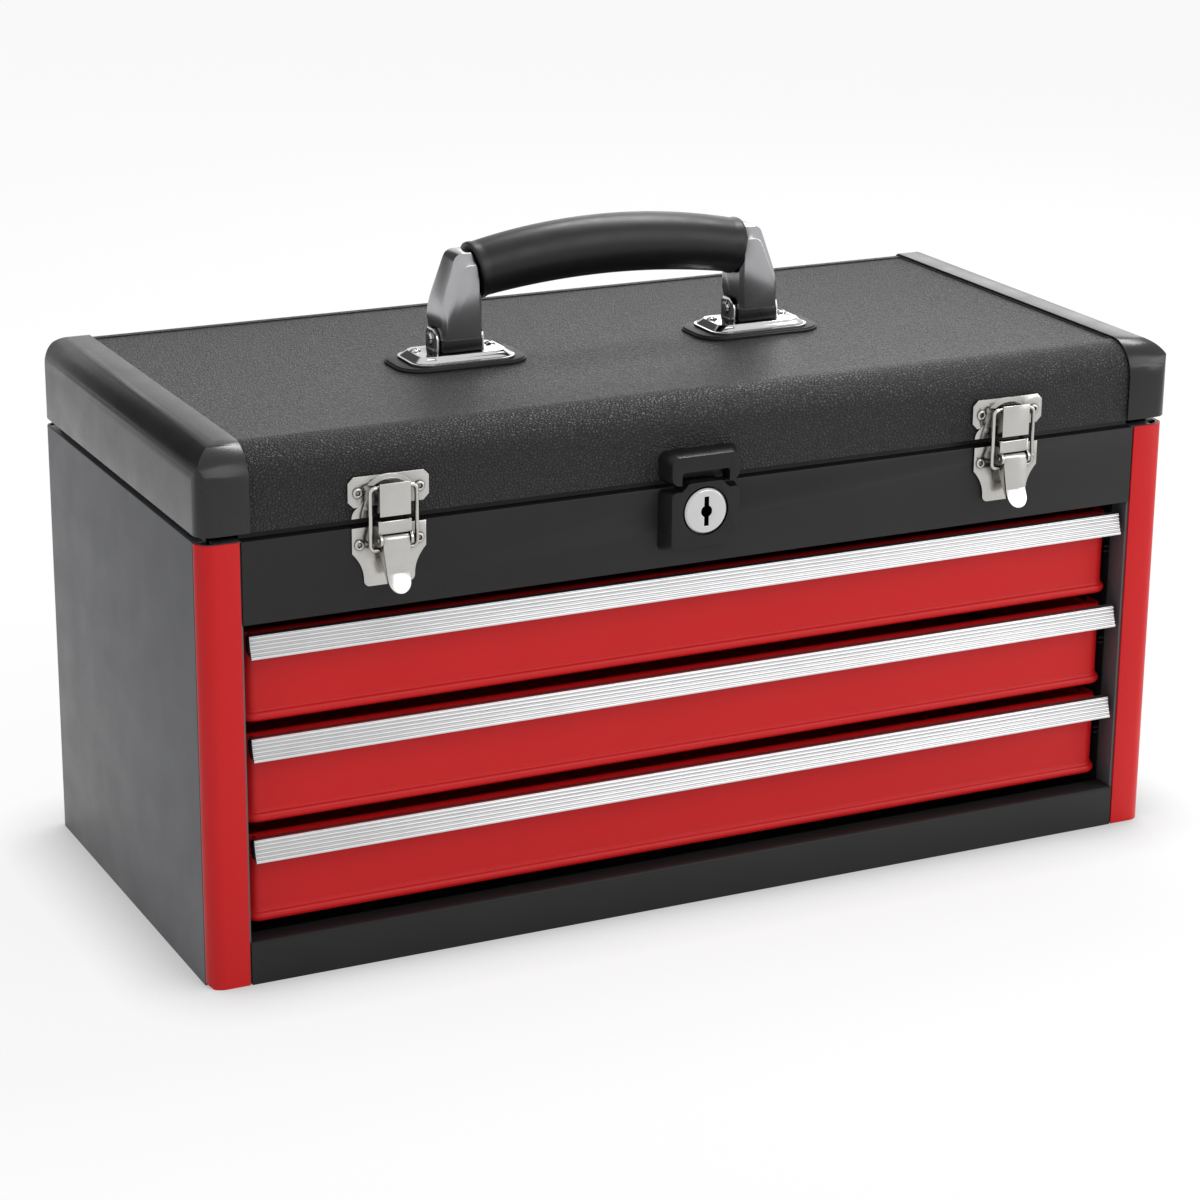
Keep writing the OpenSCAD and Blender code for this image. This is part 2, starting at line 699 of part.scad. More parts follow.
// Strike: plate with cut corners, side ear, box-shaped hook with a lip, and arched relief.
module strike(x) translate([x, 0, 0]) color(bright_steel) {
    z0 = strike_top_z - strike_h;
    cut = 2.8;
    lip_r = 0.95;
    lip_front_y = hook_lip_y - hook_lip_t;
    relief_r = 14.3;
    relief_t = 1.7;
    relief_low_z = strike_top_z - 4.6;
    ear_r = 6;
    along_y(strike_front_y, strike_y) difference() {
        union() {
            polygon([[-strike_half + cut, z0], [strike_half - cut, z0], [strike_half, z0 + cut],
                     [strike_half, strike_top_z - cut], [strike_half - cut, strike_top_z],
                     [-strike_half + cut, strike_top_z], [-strike_half, strike_top_z - cut],
                     [-strike_half, z0 + cut]]);
            // rounded ear below the left half of the plate
            intersection() {
                translate([-base_half + ear_r, lid_z + 0.4]) circle(ear_r);
                box2([-base_half, lid_z + 0.4], [-base_half + ear_r, z0 + ear_r]);
            }
            box2([-base_half + ear_r - eps, lid_z + 0.4], [-base_half + ear_r + 2, z0 + eps]);
        }
        for (s = [-1, 1]) translate([s * (strike_half - 4.8), strike_top_z - 7.6]) circle(rivet_r / 2);
    }
    // hook: box-shaped body with the groove floor on top, lip with a rolled upper edge
    difference() {
        box3([-hook_half, lip_front_y, hook_top_z - apron_h], [hook_half, strike_front_y, hook_z]);
        box3([-hook_half + latch_t, lip_front_y + latch_t, -far],
             [hook_half - latch_t, far, hook_z - latch_t]);
    }
    along_x(-hook_half, hook_half) {
        box2([lip_front_y, hook_z - 1], [hook_lip_y, hook_top_z - lip_r]);
        intersection() {
            translate([hook_lip_y - lip_r + 0.1, hook_top_z - lip_r]) circle(lip_r);
            box2([lip_front_y, hook_z], [hook_lip_y, hook_top_z]);
        }
    }
    // arched relief behind the groove
    intersection() {
        translate([0, strike_front_y + eps, strike_top_z - relief_r]) rotate([90, 0, 0])
            cylinder(h = relief_t + eps, r1 = relief_r, r2 = relief_r - relief_t);
        box3([-far, -far, relief_low_z], [far, far, strike_top_z]);
    }
}

module left_strike() strike(latch_left_x);
module right_strike() strike(latch_right_x);

// Flat outline of the base plate in (x, z), z measured down from its top edge: straight
// down to the knee, then drawn in along a hollow curve to the rounded lower end.
module base_plate_outline() {
    knee = 12;
    low_half = 12.6;
    low_r = 3;
    waist = base_plate_h - knee - low_r;
    draw_in = base_half - low_half;
    steps = 8;
    curve = [for (i = [0 : steps]) let (t = i / steps)
        [base_half - draw_in * (1 - pow(1 - t, 2.2)), -knee - waist * t]];
    mirrored = [for (i = [steps : -1 : 0]) [-curve[i][0], curve[i][1]]];
    polygon(concat([[-base_half, 0], [base_half, 0]], curve, mirrored));
    round_box([-low_half, -base_plate_h], [low_half, -base_plate_h + 2 * low_r + 1], low_r);
}

module latch_base(x) translate([x, 0, 0]) color(bright_steel) {
    top_z = body_h;
    ear_r = 3.2;
    bridge_y = pivot_y - 0.5;
    difference() {
        union() {
            along_y(base_front_y, rail_face_y) difference() {
                translate([0, top_z]) base_plate_outline();
                for (s = [-1, 1]) translate([s * (base_half - 3.6), top_z - 8]) circle(rivet_r / 2);
            }
            // ears that carry the lever pin
            for (s = [-1, 1]) along_x(min(s * ear_in, s * ear_out), max(s * ear_in, s * ear_out)) {
                box2([pivot_y, pivot_z - ear_r], [base_front_y + eps, bridge_z + bridge_h - 2.5]);
                box2([bridge_y, bridge_z], [base_front_y - 1, bridge_z + bridge_h]);
                box2([bridge_y, pivot_z], [base_front_y - 1, bridge_z + eps]);
                translate([pivot_y, pivot_z]) circle(ear_r);
            }
            // bridge across the front of the ears, above the lever
            along_x(-ear_out, ear_out) {
                box2([bridge_y, bridge_z], [bridge_y + ear_t, bridge_z + bridge_h - 0.8]);
                box2([bridge_y + 0.8, bridge_z], [bridge_y + ear_t + 1, bridge_z + bridge_h]);
                translate([bridge_y + 0.8, bridge_z + bridge_h - 0.8]) circle(0.8);
            }
        }
        rod_x(-far, far, pivot_y, pivot_z, lever_pin_r + lever_pin_fit);
    }
}

module left_latch_base() latch_base(latch_left_x);
module right_latch_base() latch_base(latch_right_x);

module latch_pins() color(bright_steel) for (x = [latch_left_x, latch_right_x]) {
    rod_x(x - ear_out - 0.6, x + ear_out + 0.6, pivot_y, pivot_z, lever_pin_r);
}

// Lever: a channel that hangs from the pin, with a curl at the top and a rounded tab below.
module lever(x) translate([x, 0, 0]) color(bright_steel) {
    skin_y = pivot_y - curl_r;
    slope = 5;                              // the skin leans in towards the case
    low_half = 5.5;
    tab_h = 9;
    skin_len = lever_len + 0.2;
    wall_len = lever_len - 4;
    wall_back = bail_y + 2.2 - pivot_y;
    curl_steps = 16;
    curl_turn = 170;
    translate([0, pivot_y, pivot_z]) rotate([-slope, 0, 0]) difference() {
        intersection() {
            // side view: curl round the pin, side walls that carry the bail, skin down to the tab
            along_x(-lever_half, lever_half) polygon(concat(
                [for (i = [0 : curl_steps]) curl_r * [cos(180 - i * curl_turn / curl_steps),
                                                      sin(180 - i * curl_turn / curl_steps)]],
                [[wall_back, -1.2], [wall_back, -7], [-curl_r + lever_t + 1.2, -wall_len],
                 [-curl_r + lever_t, -wall_len], [-curl_r + lever_t, -skin_len], [-curl_r, -skin_len]]));
            // front view, tapering to the rounded tab
            along_y(-far, far) polygon(concat(
                [[-low_half, -skin_len + tab_h], [-lever_half, -4], [-lever_half, far],
                 [lever_half, far], [lever_half, -4], [low_half, -skin_len + tab_h]],
                [for (i = [0 : curl_steps]) [low_half * cos(i * 180 / curl_steps),
                                             -skin_len + low_half - low_half * sin(i * 180 / curl_steps)]]));
        }
        // hollow between the side walls, below the curl
        along_y(-curl_r + lever_t, far) polygon([
            [-lever_half + lever_t, -lever_pin_r - 0.6], [lever_half - lever_t, -lever_pin_r - 0.6],
            [lever_half - lever_t, -4], [low_half - lever_t, -skin_len + tab_h], [low_half - lever_t, -far],
            [-low_half + lever_t, -far], [-low_half + lever_t, -skin_len + tab_h],
            [-lever_half + lever_t, -4]]);
        rod_x(-far, far, 0, 0, lever_pin_r + lever_pin_fit);
        rotate([slope, 0, 0]) rod_x(-far, far, bail_y - pivot_y, bail_z - pivot_z, bail_r + lever_pin_fit);
    }
}

module left_lever() lever(latch_left_x);
module right_lever() lever(latch_right_x);

// Wire bail: crossbar at the hook lip, two side wires and feet in the lever walls.
module bail(x) translate([x, 0, 0]) color(bright_steel) {
    rc = 2.4;
    foot_in = lever_half - lever_t - 0.3;
    len = bail_len;
    translate([0, bail_y, bail_z]) rotate([bail_lean, 0, 0]) {
        for (s = [-1, 1]) mirror(side(-s)) {
            rod_x(foot_in, bail_half - rc, 0, 0, bail_r);
            translate([bail_half - rc, 0, rc]) rotate([90, 0, 0]) rotate_extrude(angle = -90)
                translate([rc, 0]) circle(bail_r);
            translate([bail_half, 0, rc]) cylinder(h = len - 2 * rc, r = bail_r);
            translate([bail_half - rc, 0, len - rc]) rotate([90, 0, 0]) rotate_extrude(angle = 90)
                translate([rc, 0]) circle(bail_r);
        }
        rod_x(-bail_half + rc, bail_half - rc, 0, len, bail_r);
    }
}

module left_bail() bail(latch_left_x);
module right_bail() bail(latch_right_x);

// Domed tubular rivet with its shank through the sheet; faces -Y.
module rivet(x, y, z, grip) {
    head_h = 1.3;
    dome_r = (rivet_r * rivet_r + head_h * head_h) / (2 * head_h);
    difference() {
        intersection() {
            translate([x, y + dome_r - head_h, z]) sphere(dome_r);
            rod_y(y - head_h, y, x, z, rivet_r);
        }
        // hollow of the tubular end
        rod_y(y - far, y - head_h + 0.7, x, z, 0.9);
    }
    rod_y(y - eps, y + grip, x, z, rivet_r / 2 - 0.05);
}

module latch_base_rivets() color(bright_steel)
    for (x = [latch_left_x, latch_right_x], s = [-1, 1])
        rivet(x + s * (base_half - 3.6), base_front_y, body_h - 8, latch_t);

module strike_rivets() color(bright_steel)
    for (x = [latch_left_x, latch_right_x], s = [-1, 1])
        rivet(x + s * (strike_half - 4.8), strike_front_y, strike_top_z - 7.6, latch_t);

// ---------- lock ----------

// Drafted block from a wide foot at y1 to a smaller face at y0.
module drafted_block(half, z0, z1, y0, y1, low_draft, top_draft, r) {
    hull() {
        along_y(y0, y0 + eps) round_box([-half, z0], [half, z1], r);
        along_y(y1 - eps, y1) round_box([-half - lock_draft, z0 - low_draft],
                                        [half + lock_draft, z1 + top_draft], r);
    }
}

module lock_housing() translate([lock_x, 0, 0]) color(graphite) {
    tongue_half = 10.6;
    tongue_r = 3;
    tongue_z = body_h + 3.2;
    shoulder = 2.6;
    ring_w = 0.8;
    ring_depth = 1.4;
    difference() {
        union() {
            drafted_block(lock_half, housing_low_z, body_h - 0.6, housing_front_y, housing_y, 2, 0, 2.5);
            // tongue with sloping shoulders
            along_y(housing_front_y, housing_y) {
                round_box([-tongue_half, body_h - 8], [tongue_half, tongue_z], tongue_r);
                polygon([[-tongue_half - shoulder, body_h - 1], [tongue_half + shoulder, body_h - 1],
                         [tongue_half - 1, tongue_z - 1.2], [-tongue_half + 1, tongue_z - 1.2]]);
            }
        }
        rod_y(-far, housing_y - lock_step, 0, lock_z, cylinder_r + cylinder_fit);
        // open ring round the face of the cylinder
        rod_y(-far, housing_front_y + ring_depth, 0, lock_z, cylinder_r + ring_w);
        rod_y(-far, far, 0, lock_z, barrel_r + cylinder_fit);
    }
}

// Key cylinder with a bevelled rim, a keyhole and a tail for the cam.
module lock_cylinder() translate([lock_x, 0, lock_z]) color(bright_steel) {
    face_y = housing_front_y - 1;
    rim = 1;
    barrel_y = front_y + barrel_len;
    tail_y = front_y + 20;
    hole_r = 2.9;
    key_depth = 13;
    slot_w = 2.4;
    slot_h = 14.5;
    difference() {
        union() {
            rod_y(face_y + rim, housing_y - lock_step - run, 0, 0, cylinder_r);
            translate([0, face_y + rim, 0]) rotate([90, 0, 0])
                cylinder(h = rim, r1 = cylinder_r, r2 = cylinder_r - rim);
            rod_y(face_y + rim, barrel_y, 0, 0, barrel_r);
            rod_y(barrel_y - eps, tail_y, 0, 0, cam_bore);
        }
        rod_y(face_y - 1, face_y + key_depth, 0, 0, hole_r);
        box3([-slot_w / 2, face_y - 1, -slot_h / 2], [slot_w / 2, face_y + key_depth, slot_h / 2]);
    }
}

module lock_nut() translate([lock_x, 0, lock_z]) color(bright_steel) {
    nut_y = front_y + sheet;
    nut_t = 3;
    nut_r = 11;
    difference() {
        along_y(nut_y, nut_y + nut_t) circle(r = nut_r, $fn = 6);
        rod_y(-far, far, 0, 0, barrel_r + cylinder_fit);
    }
}

module lock_cam() translate([lock_x, 0, lock_z]) color(bright_steel) {
    cam_y = front_y + barrel_len + nest;
    cam_t = 2;
    cam_len = 14;
    cam_half = 5.5;
    difference() {
        along_y(cam_y, cam_y + cam_t) {
            circle(cam_half);
            box2([-cam_len, -cam_half], [0, cam_half]);
        }
        rod_y(-far, far, 0, 0, cam_bore + pin_fit);
    }
}

// Hood on the lid with an arched opening over the tongue of the lock housing.
module lock_hood() translate([lock_x, 0, 0]) color(graphite) {
    top_z = lid_z + 12.4;
    arch_half = 12.7;
    arch_top = lid_z + 4.8;
    hood_back = 1.5;                        // thickness of the back of the hood
    difference() {
        drafted_block(lock_half, hood_z, top_z, housing_front_y, cover_front_y, 0, 1.8, 4.5);
        // the opening
        along_y(-far, cover_front_y - hood_back)
            round_box([-arch_half, hood_z - 10], [arch_half, arch_top], 1.6);
        // below the lid rim nothing stands behind the opening
        box3([-far, cover_front_y - hood_back, -far], [far, far, lid_z]);
    }
}

// ---------- handle ----------

module handle_pad(s) color(rubber_black) translate([handle_x + s * bracket_x, plate_y + 0.5, 0]) {
    rim = 0.8;
    along_z(pad_z, pad_z + pad_t - rim) round_box([-pad_half, -pad_half_d], [pad_half, pad_half_d], 13);
    along_z(pad_z, pad_z + pad_t)
        round_box([-pad_half + rim, -pad_half_d + rim], [pad_half - rim, pad_half_d - rim], 13 - rim);
}

module left_handle_pad() handle_pad(-1);
module right_handle_pad() handle_pad(1);

// Pressed plate: thin flange, raised body with bevelled sides, two slots, and pivot ears.
module handle_plate(s) color(bright_steel) translate([handle_x + s * bracket_x, 0, 0]) {
    flange_t = 1.2;
    body_in = 1.4;
    bevel = 3;
    ear_x = bracket_w / 2 + run;
    ear_front = pivot_h_y - 8.6;
    ear_back = pivot_h_y + 5.4;
    ear_top = pivot_h_z + 5.4;
    difference() {
        union() {
            along_z(plate_z, plate_z + flange_t)
                round_box([-plate_half, plate_y - plate_half_d], [plate_half, plate_y + plate_half_d], 9);
            hull() for (h = [[plate_z + flange_t, body_in], [plate_top_z - 0.3, body_in + bevel]])
                along_z(h[0] - 0.3, h[0] + 0.3)
                    round_box([-plate_half + h[1], plate_y - plate_half_d + h[1]],
                              [plate_half - h[1], plate_y + plate_half_d - h[1]], 8 - h[1] / 2, $fn = 32);
            // ears with cut corners
            for (e = [-1, 1])
                along_x(min(e * ear_x, e * (ear_x + handle_ear_t)),
                        max(e * ear_x, e * (ear_x + handle_ear_t)))
                polygon([[ear_front, plate_top_z - 1], [ear_front, ear_top - 5],
                         [ear_front + 1, ear_top - 2.6],
                         [ear_front + 5, ear_top], [ear_back - 2.5, ear_top], [ear_back, ear_top - 2.5],
                         [ear_back, plate_top_z - 1]]);
        }
        rod_x(-far, far, pivot_h_y, pivot_h_z, handle_pin_r + pin_fit);
        // slots in the front bevel
        for (e = [-1, 1])
            translate([e * (plate_half - slot_in), plate_y - plate_half_d + 3, plate_top_z - 0.6])
            rotate([0, 90, 0]) cylinder(h = 5, r = 0.9, center = true);
        for (e = [-1, 1])
            translate([e * screw_x, handle_y + 2, plate_z - 1]) cylinder(h = plate_t + 2, r = 1.7);
    }
}

module left_handle_plate() handle_plate(-1);
module right_handle_plate() handle_plate(1);

module handle_screws() color(bright_steel)
    for (s = [-1, 1], e = [-1, 1])
        translate([handle_x + s * bracket_x + e * screw_x, handle_y + 2, 0]) {
        head_r = 2.9;
        head_h = 1.2;
        difference() {
            union() {
                translate([0, 0, plate_top_z]) intersection() {
                    translate([0, 0, head_h - 4.4]) sphere(4.4);
                    cylinder(h = head_h, r = head_r);
                }
                translate([0, 0, plate_z]) cylinder(h = plate_t + eps, r = 1.6);
            }
            // cross recess
            for (a = [0, 90]) rotate([0, 0, a]) box3([-2, -0.4, plate_top_z + 0.5], [2, 0.4, far]);
        }
    }

module handle_pins() color(bright_steel) for (s = [-1, 1]) {
    cx = handle_x + s * bracket_x;
    reach = bracket_w / 2 + run + handle_ear_t;
    rod_x(cx - reach - 0.8, cx + reach + 0.8, pivot_h_y, pivot_h_z, handle_pin_r);
    for (e = [-1, 1]) translate([cx + e * (reach + 0.1), pivot_h_y, pivot_h_z]) rotate([0, e * 90, 0])
        cylinder(h = 1, r1 = handle_pin_r + 1.3, r2 = handle_pin_r + 0.5);
}

// Outline of the left bracket in (x, z), drawn in by d and lowered by drop at the top.
// The outer edge is upright at the foot, then leans inwards and rounds over at the top.
module bracket_outline(d, drop) {
    xi = -bracket_w / 2 + d;
    z0 = foot_z;
    z1 = foot_z + bracket_h - drop;
    lean_from = 9;
    lean_top = 7.4;
    round_top = 5;
    steps = 10;
    lean_h = bracket_h - drop - lean_from - round_top;
    outer = [for (i = [0 : steps]) let (t = i / steps)
        [xi + lean_top * (t * t * (1.6 - 0.6 * t)), z0 + lean_from + lean_h * t]];
    top = [for (a = [15 : 15 : 90])
        [xi + lean_top + round_top * (1 - cos(a)), z1 - round_top + round_top * sin(a)]];
    polygon(concat([[bracket_w / 2 - d, z0], [xi, z0]], outer, top,
                   [[bracket_w / 2 - d - 2, z1], [bracket_w / 2 - d, z1 - 2]]));
}

module left_bracket_at() {
    cx = handle_x - bracket_x;
    bevel = 2;
    top_bevel = 4.5;
    wall = 1.6;
    y0 = handle_y - bracket_d / 2;
    y1 = handle_y + bracket_d / 2;
    relief_h = 13;
    difference() {
        translate([cx, 0, 0]) hull() {
            along_y(y0 + top_bevel, y1 - top_bevel) bracket_outline(0, 0);
            along_y(y0 + bevel, y1 - bevel) bracket_outline(0, top_bevel - 1);
            along_y(y0, y1) bracket_outline(bevel, top_bevel + 1);
        }
        // room for the foot block and the pin
        translate([cx, 0, 0]) foot_block_plug(foot_fit);
        rod_x(-far, far, pivot_h_y, pivot_h_z, handle_pin_r + 0.2);
        // the rear lower edge is cut back so that the handle folds backwards
        along_x(-far, far) polygon([[pivot_h_y + 4.2, foot_z - 1], [pivot_h_y + 4.2, foot_z],
                                    [y1 + 1, foot_z + relief_h + 1], [y1 + 1, foot_z - 1]]);
        // socket for the end of the grip and slot for the strap
        arch(grip_angle + 0.05) circle(grip_end_r + 1);
        arch(grip_angle + 1.1) strap_section(0.1);
    }
}

foot_fit = 0.15;

// Upper part of a foot block, inside the bracket; fit widens it for the hollow.
module foot_block_plug(fit) {
    half = bracket_w / 2 - 2.2 + fit;
    box3([-half, handle_y - bracket_d / 2 + 3 - fit, foot_z - 1],
         [half, pivot_h_y + 3.4 + fit, foot_z + plug_h + fit]);
}

// Black foot blocks between bracket and plate, turning on the pivot pins.
module handle_feet() color(rubber_black) for (s = [-1, 1]) translate([handle_x + s * bracket_x, 0, 0]) {
    front = handle_y - bracket_d / 2 + 0.9;
    half = bracket_w / 2 - 0.2;
    low_z = plate_top_z + 0.4;
    difference() {
        union() {
            foot_block_plug(0);
            along_x(-half, half) {
                box2([front, low_z], [pivot_h_y, foot_z - 0.1]);
                intersection() {
                    translate([pivot_h_y, pivot_h_z]) circle(lug_r);
                    box2([pivot_h_y - eps, low_z], [pivot_h_y + 4.2, foot_z - 0.1]);
                }
            }
        }
        rod_x(-far, far, pivot_h_y, pivot_h_z, handle_pin_r + pin_fit);
    }
}

// Sweeps a section along the arch of the grip from -a to +a degrees.
module arch(a) {
    translate([handle_x, handle_y, arch_z]) rotate([90, 0, 0])
        rotate([0, 0, 90 - a]) rotate_extrude(angle = 2 * a, $fn = 300) translate([arch_r, 0]) children();
}

// Section of the steel strap inside the grip.
module strap_section(fit) {
    box2([-2 - fit, -8 - fit], [2 + fit, 8 + fit]);
}

module left_bracket() color(bright_steel) left_bracket_at();
module right_bracket() color(bright_steel)
    translate([2 * handle_x, 0, 0]) mirror([1, 0, 0]) left_bracket_at();

module handle_strap() color(bright_steel) arch(grip_angle + 1) strap_section(0);

// Barrel-shaped grip, swept along the arch in slices, with a rolled lip at both ends.
module handle_grip() color(rubber_black) {
    slices = 18;
    lip = 0.9;
    lip_angle = 0.35;
    difference() {
        union() {
            for (i = [0 : slices - 1]) hull() for (j = [i, i + 1])
                let (t = 2 * j / slices - 1) grip_disc(t * grip_angle, grip_slice_r(t));
            for (s = [-1, 1]) hull() {
                grip_disc(s * grip_angle, grip_end_r + lip);
                grip_disc(s * (grip_angle - lip_angle), grip_end_r + lip);
            }
        }
        arch(grip_angle + 1) strap_section(0.1);
    }
}

// Radius of the grip at t, from -1 at one end to 1 at the other.
function grip_slice_r(t) = grip_end_r + (grip_r - grip_end_r) * (1 - t * t);

// Thin disc across the arch at angle a from its crown.
module grip_disc(a, r) translate([handle_x, handle_y, arch_z]) rotate([0, a, 0])
    translate([0, 0, arch_r]) rotate([0, 90, 0]) cylinder(h = eps, r = r, center = true);

// ---------- drawers ----------

// Open tray with rolled rims; z0 is the lower edge of its front.
module tray(n) color(signal_red) {
    z0 = drawer_z(n) + tray_lift;
    z1 = z0 + tray_h;
    r = front_r - sheet - nest;
    a = [-tray_half, tray_front_y];
    b = [tray_half, tray_back_y];
    rim_r = 1.2;
    along_z(z0, z0 + tray_t) round_box(a, b, r);
    along_z(z0, z1) difference() {
        round_box(a, b, r);
        round_box(a + [tray_t, tray_t], b - [tray_t, tray_t], r - tray_t);
    }
    // rolled rims along the sides and the back, turned inwards
    for (s = [-1, 1]) translate([s * (tray_half - rim_r), tray_front_y + r, z1]) rotate([-90, 0, 0])
        cylinder(h = drawer_depth - 2 * r, r = rim_r);
    rod_x(-tray_half + r, tray_half - r, tray_back_y - rim_r, z1, rim_r);
}

// Lower bead and step of a drawer front as (distance out from the face, height).
module bead_profile() {
    step_h = bead_r + 4;
    inside = -sheet / 2;
    intersection() {
        translate([inside, bead_r]) circle(bead_r);
        box2([inside, 0], [far, far]);
    }
    polygon([[inside, bead_r], [bead_r - 1.6, bead_r + 1.5], [0.5, bead_r + 2.6], [0.4, step_h - 0.6],
             [inside, step_h]]);
}

// Follows the face and both upright bends, and ends on the side returns.
module bead_run(half, y_face, y_end, r) {
    along_x(-half + r, half - r) mirror([1, 0]) translate([-y_face, 0]) bead_profile();
    for (s = [-1, 1]) mirror(side(-s)) {
        translate([half - r, y_face + r, 0]) rotate([0, 0, -90]) rotate_extrude(angle = 90)
            translate([r, 0]) bead_profile();
        along_y(y_face + r, y_end) translate([half, 0]) bead_profile();
    }
}

module front(n) color(signal_red) {
    z0 = drawer_z(n);
    side_back_y = face_y + 14;
    ledge_y = face_y - ledge_out;
    translate([0, 0, z0]) {
        // face with its upright bends and side returns
        along_z(bead_r, ledge_z) difference() {
            round_box([-face_half, face_y], [face_half, face_y + far], front_r);
            round_box([-face_half + sheet, face_y + sheet], [face_half - sheet, 2 * far], front_r - sheet);
            box2([-far, side_back_y], [far, 2 * far]);
        }
        bead_run(face_half, face_y, side_back_y, front_r);
        // ledge and lip that carry the pull
        along_x(-face_half + 3, face_half - 3) {
            box2([ledge_y, ledge_z - ledge_t], [face_y + 4, ledge_z]);
            box2([ledge_y, ledge_z - 7], [ledge_y + ledge_t, ledge_z]);
        }
    }
}

// Section of the aluminium pull in (y, z): leaning ribbed skin and a hooked top.
module pull_profile() {
    top_z = ledge_z + 1.2;
    low_z = top_z - pull_h;
    ledge_y = face_y - ledge_out;
    rib_r = 0.75;
    function skin_y(t) = pull_top_y - pull_lean * (0.35 * t + 0.65 * t * t);
    steps = 8;
    polygon(concat(
        [for (i = [0 : steps]) let (t = i / steps) [skin_y(t), top_z - pull_h * t]],
        [for (i = [steps : -1 : 0]) let (t = i / steps) [skin_y(t) + pull_t, top_z - pull_h * t]]));
    // hooked top over the ledge
    box2([pull_top_y + 0.2, ledge_z + 0.1], [ledge_y + ledge_t + 0.8, top_z]);
    for (i = [0 : pull_ribs - 1]) let (t = (i + 0.6) / pull_ribs)
        translate([skin_y(t) + rib_r - 0.35, top_z - pull_h * t]) circle(rib_r, $fn = 24);
}

module pull(n) color(aluminium)
    translate([0, 0, drawer_z(n)]) along_x(-face_half - 0.2, face_half + 0.2) pull_profile();

// Black D-shaped end plugs behind the skin of the pull.
module pull_ends(n) color(rubber_black) translate([0, 0, drawer_z(n)]) {
    top_z = ledge_z - 0.1;
    low_z = ledge_z + 1.2 - pull_h + 0.5;
    d0 = pull_top_y + pull_t + 0.2;
    plug_d = 3.4;
    steps = 6;
    back = d0 + plug_d;
    h = top_z - low_z;
    curve = [for (i = [0 : steps]) let (a = 90 * i / steps)
        [d0 - 1.2 + (plug_d + 1.2) * cos(a), low_z + h * 0.55 * (1 - sin(a))]];
    for (s = [-1, 1]) mirror(side(-s)) along_x(face_half - 2.6, face_half + 0.2)
        polygon(concat([[d0, top_z], [back, top_z]], curve,
                       [[d0 - 1.2, low_z + 1], [d0 - 0.4, low_z + h * 0.5]]));
}

// Slide rails on both sides of a tray: web on the tray, foot in the liner channel.
module slides(n) color(bright_steel) for (s = [-1, 1]) mirror(side(s)) {
    z0 = drawer_z(n) + slide_z;
    y0 = face_y + slide_set;
    x_web = -tray_half - slide_t;
    box3([x_web, y0, z0 - slide_web_h / 2], [-tray_half, tray_back_y - 2, z0 + slide_web_h / 2]);
    box3([-tray_half - foot_out - 1.6, y0 + 4, z0], [-tray_half, tray_back_y - 2, z0 + slide_t]);
}

module drawer_1_tray() tray(1);
module drawer_1_front() front(1);
module drawer_1_pull() pull(1);
module drawer_1_pull_ends() pull_ends(1);
module drawer_1_slides() slides(1);
module drawer_2_tray() tray(2);
module drawer_2_front() front(2);
module drawer_2_pull() pull(2);
module drawer_2_pull_ends() pull_ends(2);
module drawer_2_slides() slides(2);
module drawer_3_tray() tray(3);
module drawer_3_front() front(3);
module drawer_3_pull() pull(3);
module drawer_3_pull_ends() pull_ends(3);
module drawer_3_slides() slides(3);

base_pan();
left_side();
right_side();
back_panel();
front_top_rail();
front_bottom_rail();
left_post();
right_post();
till_floor();
left_liner();
right_liner();
hinge_case_leaf();
hinge_pin();
left_latch_base();
right_latch_base();
latch_pins();
latch_base_rivets();
lock_housing();
lock_nut();
lock_cylinder();
lock_cam();
lid_cover();
left_lid_cap();
right_lid_cap();
hinge_lid_leaf();
left_strike();
right_strike();
strike_rivets();
lock_hood();
left_handle_pad();
right_handle_pad();
left_handle_plate();
right_handle_plate();
handle_screws();
handle_pins();
left_bracket();
right_bracket();
handle_strap();
handle_grip();
handle_feet();
left_lever();
right_lever();
left_bail();
right_bail();
drawer_1_tray();
drawer_1_front();
drawer_1_pull();
drawer_1_pull_ends();
drawer_1_slides();
drawer_2_tray();
drawer_2_front();
drawer_2_pull();
drawer_2_pull_ends();
drawer_2_slides();
drawer_3_tray();
drawer_3_front();
drawer_3_pull();
drawer_3_pull_ends();
drawer_3_slides();
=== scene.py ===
# Portable tool box with three drawers, dressed in the order in which it is put together:
# case, hinge, latches, lock, lid, handle, drawers.
import math

import bpy
from mathutils import Matrix, Vector


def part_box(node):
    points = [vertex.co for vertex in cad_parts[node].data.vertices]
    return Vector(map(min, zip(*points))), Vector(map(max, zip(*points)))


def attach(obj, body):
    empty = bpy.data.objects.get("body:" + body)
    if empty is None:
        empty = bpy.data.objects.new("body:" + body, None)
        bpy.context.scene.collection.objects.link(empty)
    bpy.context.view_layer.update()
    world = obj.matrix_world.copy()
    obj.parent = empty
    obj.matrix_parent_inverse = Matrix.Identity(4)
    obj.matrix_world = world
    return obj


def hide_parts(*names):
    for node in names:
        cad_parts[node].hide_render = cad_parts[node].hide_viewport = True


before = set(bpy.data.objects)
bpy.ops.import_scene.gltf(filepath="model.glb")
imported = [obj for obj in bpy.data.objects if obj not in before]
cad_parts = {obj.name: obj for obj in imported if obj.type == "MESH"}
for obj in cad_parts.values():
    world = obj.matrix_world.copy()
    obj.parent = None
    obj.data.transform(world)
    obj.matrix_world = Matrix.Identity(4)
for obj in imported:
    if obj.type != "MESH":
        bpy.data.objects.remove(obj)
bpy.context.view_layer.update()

# ---------------------------------------------------------------------------
# Camera: a portrait lens at the height of a person's eyes over a table, a little
# to the left of the box. The picture is square, 1200 by 1200.
# ---------------------------------------------------------------------------
LENS_PX = 3351.8          # focal length in pixels of the square picture
PICTURE_PX = 1200
SENSOR_MM = 36.0
camera_right = Vector((0.89946, -0.436915, 0.008811))
